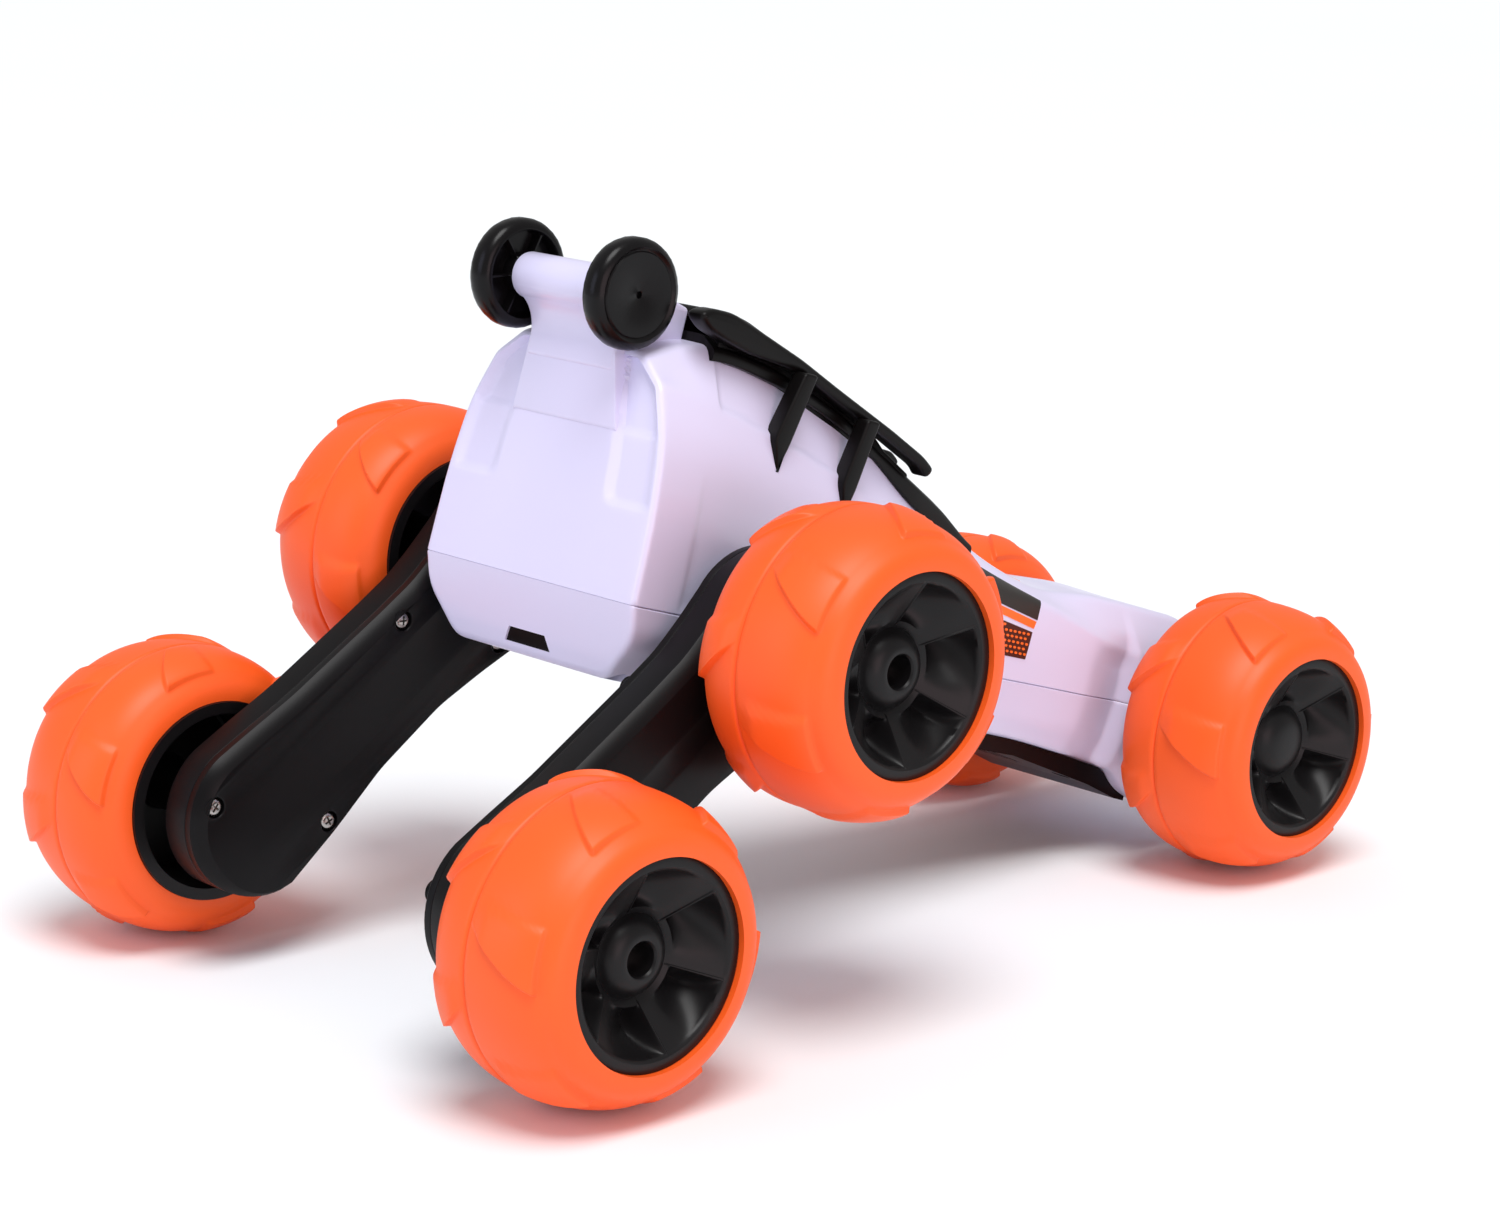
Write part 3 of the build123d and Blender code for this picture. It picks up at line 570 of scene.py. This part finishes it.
# ---------------------------------------------------------------- body shells
def station_value(x, point, axis):
    """A half outline's coordinate at any x, on a smooth curve through the stations."""
    xs = np.array([station[0] for station in body_stations])
    values = np.array([station[1][point][axis] for station in body_stations], float)
    slopes = np.diff(values) / np.diff(xs)
    tangents = np.concatenate(([slopes[0]], (slopes[1:] + slopes[:-1]) / 2, [slopes[-1]]))
    x = min(max(x, xs[0]), xs[-1])
    i = min(max(int(np.searchsorted(xs, x)) - 1, 0), len(xs) - 2)
    width = xs[i + 1] - xs[i]
    t = (x - xs[i]) / width
    start, end = (2 * t**3 - 3 * t**2 + 1), (-2 * t**3 + 3 * t**2)
    return (
        start * values[i] + (t**3 - 2 * t**2 + t) * width * tangents[i]
        + end * values[i + 1] + (t**3 - t**2) * width * tangents[i + 1]
    )


def side_offset(x, z):
    """How far the side wall is pulled in, by the tail's crease, the chamfer's shoulder and the groove."""
    crease = 0.4 * float(smoothstep(-18.0, -15.6, x)) * (1 - float(smoothstep(30, 60, x)))
    crease *= float(smoothstep(0, 2.5, z)) * (1 - float(smoothstep(24, 36, z)))
    corner = station_value(x, 5, 1)
    shoulder = 0.9 * float(smoothstep(-12.6, -11.4, x)) * (1 - float(smoothstep(20, 50, x)))
    shoulder *= float(smoothstep(corner - 0.2, corner + 0.5, z))
    groove = 3.2 * float(smoothstep(141, 156.5, x)) * (1 - float(smoothstep(157.5, 161.5, x)))
    groove *= float(smoothstep(-24, -14, z)) * (1 - float(smoothstep(8, 19, z)))
    flange = -1.0 * float(smoothstep(157.5, 161.5, x))
    return crease + shoulder + groove + flange


def half_corners(x):
    """The body's half outline at x, before its corners are softened."""
    points = [[station_value(x, k, 0), station_value(x, k, 1)] for k in range(7)]
    past = max(0.0, x - nose_x)
    shrink = sqrt(max(0.0004, 1 - (past / drum_r) ** 2))
    if x > nose_x - 20:
        reach = min(20.0, abs(x - nose_x))
        drum_low = -sqrt(max(0.0, drum_r**2 - reach**2)) if past == 0 else -drum_r
        blend = float(smoothstep(nose_x - 20, nose_x - 12, x))
        targets = [(26.0, min(drum_low, points[0][1])), (27.0, min(drum_low, points[0][1]) + 2)]
        for point, (y, z) in zip(points, targets):
            point[0] += (y - point[0]) * blend
            point[1] += (z - point[1]) * blend
    return [(y, z * shrink) for y, z in points]


def even_points(line, count):
    """The line's points spaced evenly along it."""
    line = np.array(line)
    along = np.concatenate(([0], np.cumsum(np.linalg.norm(np.diff(line, axis=0), axis=1))))
    wanted = np.linspace(0, along[-1], count)
    return np.column_stack((np.interp(wanted, along, line[:, 0]), np.interp(wanted, along, line[:, 1])))


def roof_crown(x):
    """How far the roof's middle rises above its edges."""
    return 0.6 + 0.6 * float(smoothstep(90, 115, x)) * (1 - float(smoothstep(150, 175, x)))


def half_line(x, upper):
    """Softened half outline at x, from the parting line to the middle of the roof or belly."""
    corners = half_corners(x)
    seam = corners[2]
    way = 1 if upper else -1
    start = [(seam[0] - 0.3, 0.05 * way), (seam[0], 0.32 * way)]
    if upper:
        points = corners[3:] + [(0.0, corners[6][1] + roof_crown(x))]
        cuts = corner_cuts[3:] + [0]
    else:
        round_off = 1 - float(smoothstep(-31, 20, x))
        bulge = (0.5 * (seam[0] + corners[1][0]) + 2.4 * round_off, 0.5 * corners[1][1] - 1.2 * round_off)
        points = [bulge, corners[1], corners[0], (0.0, corners[0][1])]
        cuts = [6.0, corner_cuts[1] + 2 * round_off, corner_cuts[0] + round_off, 0]
    line = soften([start[1], *points], [0, *cuts], closed=False)
    return start, line


side_rows, roof_rows = 64, 26
belly_side_rows = 26


def body_ring(x, upper, roll=0.0):
    """One cross-section ring, right parting edge over to the left; roll insets it for the tail's edge."""
    start, line = half_line(x, upper)
    count = side_rows if upper else belly_side_rows
    split = len(line) - 1
    outside = even_points(line[:split], count)
    across = even_points([line[split - 1], line[-1]], roof_rows)[1:]
    half = np.vstack((np.array(start[:1]), outside, across))
    if roll:
        tangent = np.gradient(half, axis=0)
        tangent /= np.linalg.norm(tangent, axis=1)[:, None]
        way = 1 if upper else -1
        normal = np.column_stack((-tangent[:, 1], tangent[:, 0])) * way
        normal[0] = normal[1] = (-1, 0)
        half = half + normal * roll
    ring = []
    for y, z in half:
        y = y - side_offset(x, z) * float(smoothstep(18, 24, y))
        near_tail = float(np.clip((-8 - x) / 23, 0, 1))
        lean = 0.0 if upper else np.interp(z, tail_lean_z, tail_lean_x) * near_tail
        ring.append((x + lean, y, z))
    return [(x, -y, z) for x, y, z in ring] + [(x, y, z) for x, y, z in ring[-2::-1]]


def tail_relief(y, z):
    """How far a point of the tail panel stands out: two steps at the sides and a raised centre column."""
    y = abs(y)
    column = 14.9 + (55 - z) * 0.18
    beside = float(smoothstep(column - 0.3, column + 0.3, y))
    steps = -0.9 * float(smoothstep(tail_step_low - 0.3, tail_step_low + 0.3, z))
    steps += -0.9 * float(smoothstep(tail_step_high - 0.3, tail_step_high + 0.3, z))
    edge = 1 - float(smoothstep(33.5, 35.0, y))
    return beside * steps * edge


def shell_sheet(name, upper):
    """Outer sheet of one body shell: side walls, roof or belly, the nose half-drum and the tail panel."""
    xs = list(np.arange(tail_x + tail_roll + 1.2, -18, 1.4)) + [-17.6, -17.0, -16.4, -15.8, -14.5, -13.2]
    xs += [-12.6, -12.2, -11.8, -11.4] + list(np.arange(-10, 138, 3.0)) + list(np.arange(138, 157, 1.25))
    xs += list(np.arange(157, 162, 0.5)) + list(np.arange(162, nose_x, 1.25))
    xs += [nose_x + drum_r * sin(radians(turn)) for turn in np.linspace(0, 90, 19)]
    rings = []
    for turn in (0, 18, 36, 54, 72, 90):
        t = radians(turn)
        x = tail_x + tail_roll * (1 - cos(t))
        rings.append(body_ring(x, upper, roll=tail_roll * (1 - sin(t))))
    rings += [body_ring(x, upper) for x in xs]
    verts, faces = loft(rings, ring_closed=False, caps=False)
    half = 1 + (side_rows if upper else belly_side_rows)
    first = rings[0]
    last = len(first) - 1
    columns = len(first) - 2 * half + 1
    number = {}
    for row in range(half):
        a, b = Vector(first[row]), Vector(first[last - row])
        for k in range(columns + 1):
            if k == 0 or k == columns:
                number[row, k] = row if k == 0 else last - row
                continue
            point = a.lerp(b, k / columns)
            inside = min(k, columns - k)
            if upper:
                point.x -= tail_relief(point.y, point.z) * min(1.0, inside / 2)
            number[row, k] = len(verts)
            verts.append(tuple(point))
    for k in range(1, columns):
        top = first[half - 1 + k]
        verts[number[half - 1, k]] = tuple(top)
    for row in range(half - 1):
        for k in range(columns):
            faces.append((number[row, k], number[row + 1, k], number[row + 1, k + 1], number[row, k + 1]))
    return make_object(name, verts, faces, body_place, smooth=40)


def thicken(thing, thickness):
    """Gives a sheet the shell's wall thickness, inwards."""
    step = thing.modifiers.new("wall", "SOLIDIFY")
    step.thickness = thickness * 0.001
    step.offset = -1
    step.use_even_offset = True
    return apply_modifiers(thing, smooth=40)


def ridge_pieces():
    """The centre ridge above the tail panel, flared into it below, with the roller tube across its top."""
    tube_x, tube_z = tube_at
    side = [(-31, 50), (-33.5, 50), (-34.2, 57), (-36.6, 61), (-42.6, 64.6), (-41.6, 71.5)]
    side += [(tube_x, tube_z + tube_r - 0.1), (-28, 71.2), (-14.2, 68.3), (-14.2, 50), (-28, 48)]
    side = soften(side, [0.5, 1, 6, 3, 2, 3, 2, 4, 1, 1, 1])
    ridge = plate("ridge", side, -14.9, 14.9, body_place, rolls=(0.9, 0.9))
    levels = ((36.9, -30.6, 18.2), (37.4, -31.2, 18.1), (38.0, -31.35, 18.0), (46, -32.5, 16.5))
    rings = []
    for z, front, half_width in (*levels, (54.5, -33.85, 14.95)):
        corner = 0.7 if front < -31 else 0.3
        nick = 0.3 * corner
        rings.append([
            (-29.0, -half_width, z), (-29.0, half_width, z),
            (front + corner, half_width, z), (front + nick, half_width - nick, z),
            (front, half_width - corner, z), (front, corner - half_width, z),
            (front + nick, nick - half_width, z), (front + corner, -half_width, z),
        ])
    apron = make_object("apron", *loft(rings), body_place)
    half_tube = [(15.0, tube_r), (15.4, 5.3), (15.6, 4.9), (15.6, 3.0)]
    rings = []
    for y, r in [(-y, r) for y, r in half_tube[::-1]] + half_tube:
        rings.append([(tube_x + a, y, tube_z + b) for a, b in circle(0, 0, r, 48)])
    tube = make_object("tube", *loft(rings), body_place)
    return [ridge, apron, tube]


def build_shells():
    upper = thicken(shell_sheet("upper_sheet", True), shell_wall)
    upper = join("shell_upper", [upper, *ridge_pieces()])
    upper.data.set_sharp_from_angle(angle=radians(40))
    dress(upper, white_plastic, "chassis", "body_white", "upper_shell")
    lower = thicken(shell_sheet("shell_lower", False), shell_wall)
    slot_cut = []
    for x in (-40, -20):
        slot_cut.append([(x, y, z) for y, z in socket_slot])
    cutters = [make_object("slot_cut", *loft(slot_cut), body_place)]
    for x, y in ((-21, 26.5), (62, 24.0), (106, 20.5)):
        for side in (1, -1):
            cutters.append(post("head_cut", 2.6, -30, -11.0, (x, y * side), body_place))
    cut(lower, cutters, smooth=40)
    dress(lower, white_plastic, "chassis", "body_white", "lower_shell")
    rings = []
    for depth in (0.5, 2.2):
        leans = np.interp([z for y, z in socket_slot], tail_lean_z, tail_lean_x)
        rings.append([(tail_x + lean + depth, y, z) for lean, (y, z) in zip(leans, socket_slot)])
    bezel = make_object("socket_bezel", *loft(rings), body_place)
    dress(bezel, black_plastic, "chassis", "black_plastic")


build_shells()


# ---------------------------------------------------------------- canopy, rails, rollers
def build_canopy():
    """Black canopy over the roof: skirts, the rails' seats, a front foot and the tail blade."""
    rings = []
    for x in np.linspace(canopy_x[0], canopy_x[-1], 46):
        edge_y, edge_z = station_value(x, 6, 0), station_value(x, 6, 1)
        top = max(float(np.interp(x, canopy_x, canopy_top)), edge_z + 0.2)
        deeper = float(smoothstep(45, 66, x))
        skirt_y, skirt_z = edge_y + 2.8 + 1.3 * deeper, edge_z - 3.4 - 2.2 * deeper
        half = [(skirt_y - 1.6, skirt_z), (skirt_y, skirt_z), (skirt_y, edge_z - 0.8)]
        half = soften(half + [(edge_y - 2.2, top - 0.1), (0.0, top)], [0, 0.7, 1.2, 1.6, 0], closed=False)
        rings.append([(x, y, z) for y, z in half] + [(x, -y, z) for y, z in half[-2::-1]])
    slab = make_object("slab", *loft(rings), body_place)
    foot = soften([(50, 46.5), (50, 48.6), (60, 48.4), (63.5, 46.4), (61, 43.6)], [1, 1, 1, 1.5, 1])
    foot = plate("foot", foot, -18, 18, body_place)
    blade = [(-13.5, 66.6), (-12, 69.6), (-4, 69.0), (12, 64.6), (12, 62.4), (0, 65.6)]
    blade = soften(blade, [1, 1.5, 3, 0.8, 0.8, 2])
    blade = plate("blade", blade, -23.6, 23.6, body_place, rolls=(1.0, 1.0))
    neck = plate("neck", [(-10, 61.5), (-10, 66.8), (6, 65.0), (6, 60.5)], -8, 8, body_place)
    seat = [(-12, 63.4), (-6, 62.6), (11, 61.8), (24.5, 57.8), (44, 51.6), (50, 47.8), (60, 43.8)]
    seat = soften(seat + [(60, 41), (31, 50), (3, 57), (-12, 58)], [0.6] * 11)
    seats = []
    for low, high in ((21.4, 24.6), (-24.6, -21.4)):
        seats.append(plate("seat", seat, low, high, body_place, rolls=(0.4, 0.4)))
    canopy = join("canopy_roof", [slab, foot, blade, neck, *seats])
    canopy.data.set_sharp_from_angle(angle=radians(35))
    dress(canopy, canopy_black, "chassis", "black_plastic", "canopy")


def build_rail(side, word):
    """Side rail of the roof: a long bar, thicker at the tail, with two slim pointed fins hanging from it."""
    outline = [(-24.6, 67.0), (-21, 69.0), (-14, 69.2), (-6, 67.4), (11, 63.3), (24.5, 59.2)]
    outline += [(46, 53.0), (59, 48.8), (63.4, 46.4), (61.5, 43.6), (59, 45.8), (46, 50.0)]
    outline += [(24.5, 56.2), (11, 60.3), (-6, 61.2), (-14, 62.4), (-21, 64.0)]
    low, high = sorted((24.0 * side, 30.0 * side))
    bar = plate("bar", soften(outline, [2.2] * len(outline)), low, high, body_place, rolls=(1.3, 1.3))
    pieces = [bar]
    fin_rear = [(9.6, 60.5), (13.8, 60.5), (9.8, 43.0), (7.4, 36.0), (4.6, 44.0)]
    fin_front = [(33.6, 53.8), (37.8, 53.8), (34.8, 36.5), (32.6, 29.5), (30.0, 37.4)]
    low, high = sorted((28.4 * side, 33.0 * side))
    for outline in (fin_rear, fin_front):
        outline = soften(outline, [1.0, 1.0, 1.5, 0.5, 1.5])
        pieces.append(plate("fin", outline, low, high, body_place, rolls=(0.7, 0.7)))
    rail = join(f"rail_{word}", pieces)
    rail.data.set_sharp_from_angle(angle=radians(35))
    dress(rail, canopy_black, "chassis", "black_plastic", f"roof_rail_{word}")


def build_roller(side, word):
    """Tail roller: a flat face with a small hole, inside a rounded rim, and a ribbed recess behind."""
    low, high = roller_y
    face = high - 0.35
    profile = [(face - 1.0, 0.02), (face - 1.0, 0.8), (face - 0.1, 0.85), (face, 1.0), (face, 9.2)]
    profile += [(face + 0.02, 9.6), (face - 0.25, 9.9), (face - 0.1, 10.3), (high - 0.02, 10.8)]
    profile += [(high - 0.35, 11.6), (high - 1.1, 12.4), (high - 2.2, 12.8)]
    profile += [((low + high) / 2, roller_r), (low + 2.2, 12.8), (low + 1.1, 12.4), (low + 0.35, 11.7)]
    profile += [(low, 10.9), (low, 10.4), (low + 0.2, 10.2), (low + 3.2, 9.9), (low + 3.2, 4.8)]
    profile += [(low + 0.4, 4.4), (low, 4.1), (low, 1.56), (high - 1.4, 1.56), (high - 1.4, 0.02)]
    rings = []
    turns = [60 * i + offset for i in range(6) for offset in (0, 1.5, 4, 14, 25, 35, 46, 56, 58.5)]
    for y, r in profile:
        ring = []
        for turn in turns:
            rise = 2.4 if abs((turn + 30) % 60 - 30) < 3 and y == low + 3.2 else 0.0
            ring.append((r * cos(radians(turn)), side * (y - rise), r * sin(radians(turn))))
        rings.append(ring)
    at = body_place @ Vector((tube_at[0], 0, tube_at[1]))
    roller_place = Matrix.Translation(at) @ millimetres
    roller = make_object(f"roller_wheel_{word}", *loft(rings), roller_place, smooth=40)
    dress(roller, roller_black, f"{word}_roller", "black_plastic", f"roller_{word}")


build_canopy()
for side, word in ((1, "left"), (-1, "right")):
    build_rail(side, word)
    build_roller(side, word)


# ---------------------------------------------------------------- swing arms
def arm_outline():
    """The arm's side outline, round at both ends and waisted between, and its bevel's width all round."""
    top = [(6.0, -18.87), (15.0, -17.0), (24.0, -15.7), (36.0, -15.8), (66.0, -16.8), (80.0, -18.2)]
    top += [(arm_length, -19.0)]
    bottom = [(arm_length + 3.0, 18.76), (76.0, 17.1), (58.0, 14.2), (36.0, 13.7), (22.0, 15.6)]
    bottom += [(8.0, 18.11)]
    loop = soften(top, [3] * len(top), closed=False)
    widths = [1.0] * len(loop)
    for turn in np.linspace(-84, 76, 30)[:-1]:
        loop.append((arm_length + 19.0 * cos(radians(turn)), 19.0 * sin(radians(turn))))
        widths.append(1 - float(smoothstep(0, 76, turn)))
    low_edge = soften(bottom, [3] * len(bottom), closed=False)
    loop += low_edge
    widths += [0.0] * len(low_edge)
    for turn in np.linspace(68, 288, 40)[1:-1]:
        loop.append((19.8 * cos(radians(turn)), 19.8 * sin(radians(turn))))
        widths.append(float(smoothstep(150, 240, turn)))
    return loop, 0.3 + (arm_bevel - 0.3) * np.array(widths)


def build_arm(side, word):
    """The arm's two half shells: solid plates, bevelled along the upper edge, that meet at a fine seam."""
    outline, bevel = arm_outline()
    seam_roll = 0.22
    inner_holes = [circle(x, z, 2.5, 28) for x, z in arm_screw_spots] + [circle(0, 0, 6.05, 40)]
    outer_holes = [circle(x, 0, 2.6, 32) for x in (0.0, arm_length)]
    halves = (("inner", arm_inner_y, inner_holes), ("outer", arm_outer_y, outer_holes))
    for kind, face_y, holes in halves:
        low, high = sorted((face_y * side, arm_seam_y * side))
        face_first = low == face_y * side
        rolls = (bevel, seam_roll) if face_first else (seam_roll, bevel)
        edges = (flat_edge, round_edge) if face_first else (round_edge, flat_edge)
        skin = plate(f"arm_skin_{kind}_{word}", outline, low, high, arm_place, rolls, holes, 0.25, edges)
        dress(skin, arm_plastic, f"{word}_arm", "black_plastic", f"arm_{kind}_shell_{word}")


def screw_mesh(side):
    """Pan-head screw with a cross recess, its axis across the car and its shank outwards."""
    seat = arm_inner_y + 1.7
    profile = [(-1.55, 0.02), (-1.55, 0.9), (-1.4, 1.5), (-1.05, 2.0), (-0.5, 2.28)]
    profile += [(0.0, 2.3), (0.0, 1.25), (7.4, 1.25), (8.0, 0.7), (8.0, 0.02)]
    rings = [[(a, side * (seat + s), b) for a, b in circle(0, 0, r, 28)] for s, r in profile]
    screw = make_object("screw", *loft(rings), millimetres)
    corners = ((-1, -1), (1, -1), (1, 1), (-1, 1))
    bars = []
    for long_x, long_z in ((1.35, 0.3), (0.3, 1.35)):
        rings = []
        for y, k in ((seat - 2.0, 1.0), (seat - 0.55, 0.55)):
            rings.append([(long_x * k * a, side * y, long_z * k * b) for a, b in corners])
        bars.append(make_object("bar", *loft(rings), millimetres))
    return mesh_only(cut(screw, bars, smooth=40))


def build_screws(side, word):
    """The arm's four screws, each turned its own way."""
    pattern = screw_mesh(side)
    screws = []
    for number, (x, z) in enumerate(arm_screw_spots):
        turned = pattern.copy()
        spot = arm_place @ Vector((x, 0, z))
        turned.transform(Matrix.Translation(spot) @ Matrix.Rotation(0.5 + 1.1 * number, 4, "Y"))
        screw = bpy.data.objects.new("screw", turned)
        bpy.context.scene.collection.objects.link(screw)
        screws.append(screw)
    dress(join(f"screws_{word}", screws), nickel, f"{word}_arm", "steel", f"arm_screws_{word}")


for side, word in ((1, "left"), (-1, "right")):
    build_arm(side, word)
    build_screws(side, word)


# ---------------------------------------------------------------- stickers
film_lift, film_base = 0.12, -0.25  # a film's outer and inner faces, measured out from the shell


def side_point(x, z, side, lift):
    """A point on the body's side wall at x and height z, lifted off it."""
    start, line = half_line(x, True)
    line = np.array(line[:-1])
    rising = np.argsort(line[:, 1])
    y = float(np.interp(z, line[rising, 1], line[rising, 0]))
    y -= side_offset(x, z) * float(smoothstep(18, 24, y))
    return x, side * (y + lift), z


def film_faces(columns, rows):
    """Faces of a thin closed film: a grid of points on top, the same grid below, and the rim between."""
    faces = []
    count = (columns + 1) * (rows + 1)
    for base, way in ((0, 1), (count, -1)):
        for i in range(columns):
            for j in range(rows):
                a = base + i * (rows + 1) + j
                faces.append((a, a + rows + 1, a + rows + 2, a + 1)[::way])
    rim = [i * (rows + 1) for i in range(columns + 1)]
    rim += [columns * (rows + 1) + j for j in range(1, rows + 1)]
    rim += [i * (rows + 1) + rows for i in range(columns - 1, -1, -1)]
    rim += [j for j in range(rows - 1, 0, -1)]
    for a, b in zip(rim, rim[1:] + rim[:1]):
        faces.append((a, b, b + count, a + count))
    return faces


def side_sticker(name, corners, finish, side, rows=8):
    """Thin film on the side wall: four (x, z) corners, the second pair running back under the first."""
    (ax, az), (bx, bz), (cx, cz), (dx, dz) = corners
    columns = 24
    verts = []
    for level in (film_lift, film_base):
        for i in range(columns + 1):
            u = i / columns
            for j in range(rows + 1):
                v = j / rows
                x = (ax + (bx - ax) * u) * (1 - v) + (dx + (cx - dx) * u) * v
                z = (az + (bz - az) * u) * (1 - v) + (dz + (cz - dz) * u) * v
                verts.append(side_point(x, z, side, level))
    film = make_object(name, verts, film_faces(columns, rows), body_place, smooth=50)
    return dress(film, finish, "chassis", "body_white")


def hex_film(name, side):
    """Orange cells in staggered rows, printed on the dark panel."""
    verts, faces = [], []
    for row in range(8):
        for column in range(24):
            x = 72.5 + column * 1.9 + (row % 2) * 0.95
            z = 7.1 + row * 1.3
            top = 18.2 - (x - 70) * 0.113
            end = 115.2 + (z - 5.9) * 0.127
            if x > end - 0.9 or z > top - 0.6:
                continue
            first = len(verts)
            for k in range(6):
                turn = radians(60 * k)
                verts.append(side_point(x + 0.62 * cos(turn), z + 0.36 * sin(turn), side, 0.17))
            faces.append(tuple(range(first, first + 6)))
    film = make_object(name, verts, faces, body_place)
    step = film.modifiers.new("film", "SOLIDIFY")
    step.thickness = 0.00015
    step.offset = -1
    apply_modifiers(film)
    return dress(film, sticker_orange, "chassis", "body_white")


def hood_film(name, x0, x1, margin, finish):
    """Thin film over the hood, across the roof edge."""
    verts = []
    columns, rows = 20, 24
    for level in (film_lift, film_base):
        for i in range(columns + 1):
            x = x0 + (x1 - x0) * i / columns
            edge_y, edge_z = station_value(x, 6, 0), station_value(x, 6, 1)
            for j in range(rows + 1):
                y = (j / rows * 2 - 1) * (edge_y - margin)
                verts.append((x, y, edge_z + roof_crown(x) * (1 - abs(y) / edge_y) + level))
    film = make_object(name, verts, film_faces(columns, rows), body_place, smooth=50)
    return dress(film, finish, "chassis", "body_white")


band_black = [(58, 34.2), (118.7, 21.2), (117.5, 16.2), (58, 24.6)]
band_orange = [(70, 22.6), (117.2, 15.8), (116.4, 13.9), (70, 20.4)]
panel_dark = [(70, 18.2), (116.1, 13.0), (115.2, 5.9), (70, 5.9)]
for side, word in ((1, "left"), (-1, "right")):
    side_sticker(f"band_black_{word}", band_black, sticker_black, side)
    side_sticker(f"band_orange_{word}", band_orange, sticker_orange, side, rows=3)
    side_sticker(f"panel_dark_{word}", panel_dark, mesh_dark, side)
    hex_film(f"panel_cells_{word}", side)
hood_film("hood_orange", 91.0, 119.0, 2.0, sticker_orange)


# ---------------------------------------------------------------- studio
def add_floor():
    size = 6.0
    corners = [(-size, -size, 0), (size, -size, 0), (size, size, 0), (-size, size, 0)]
    mesh = bpy.data.meshes.new("floor")
    mesh.from_pydata(corners, [], [(0, 1, 2, 3)])
    floor = bpy.data.objects.new("floor", mesh)
    bpy.context.scene.collection.objects.link(floor)
    finish = material("floor_paper", (0.90, 0.93, 0.95), 0.75, 0.004, specular=0.2, mottle=0.5)
    mesh.materials.append(finish)


def add_light(name, spot, aim, size, power, colour=(1, 1, 1)):
    light = bpy.data.lights.new(name, "AREA")
    light.shape = "RECTANGLE"
    light.size, light.size_y = size
    light.energy = power
    light.color = colour
    thing = bpy.data.objects.new(name, light)
    bpy.context.scene.collection.objects.link(thing)
    thing.location = spot
    thing.rotation_euler = (Vector(aim) - Vector(spot)).to_track_quat("-Z", "Y").to_euler()


def add_sun(direction, strength, spread):
    light = bpy.data.lights.new("sky_panel", "SUN")
    light.energy = strength
    light.angle = radians(spread)
    thing = bpy.data.objects.new("sky_panel", light)
    bpy.context.scene.collection.objects.link(thing)
    thing.rotation_euler = Vector(direction).to_track_quat("Z", "Y").to_euler()


def add_world(strength):
    world = bpy.data.worlds.new("studio")
    world.use_nodes = True
    world.node_tree.nodes["Background"].inputs["Color"].default_value = (1, 1, 1, 1)
    world.node_tree.nodes["Background"].inputs["Strength"].default_value = strength
    bpy.context.scene.world = world


def add_camera():
    """A long lens a little above the car, behind it and to its right."""
    camera = bpy.data.cameras.new("camera")
    camera.lens = 88.08
    camera.sensor_width = 36
    camera.sensor_fit = "HORIZONTAL"
    thing = bpy.data.objects.new("camera", camera)
    bpy.context.scene.collection.objects.link(thing)
    azimuth, dip, roll = radians(46.08), radians(13.18), radians(1.71)
    forward = Vector((cos(dip) * cos(azimuth), cos(dip) * sin(azimuth), -sin(dip)))
    right = forward.cross(Vector((0, 0, 1))).normalized()
    up = right.cross(forward)
    turned_right = cos(roll) * right + sin(roll) * up
    turned_up = -sin(roll) * right + cos(roll) * up
    axes = Matrix((turned_right, turned_up, -forward)).transposed()
    thing.matrix_world = Matrix.Translation((-0.61106, -0.62712, 0.28013)) @ axes.to_4x4()
    bpy.context.scene.camera = thing


add_floor()
add_sun((-0.22, -0.30, 1.0), 2.2, 32)
add_light("side", (-0.5, -1.5, 0.45), (0.03, 0, 0.06), (0.9, 0.9), 5.0, (1.0, 0.72, 0.76))
add_light("tail", (-1.6, 0.5, 0.7), (0, 0, 0.08), (0.9, 0.9), 4.5, (0.70, 0.74, 1.0))
add_world(0.48)
add_camera()
bpy.context.scene.view_settings.view_transform = "Standard"
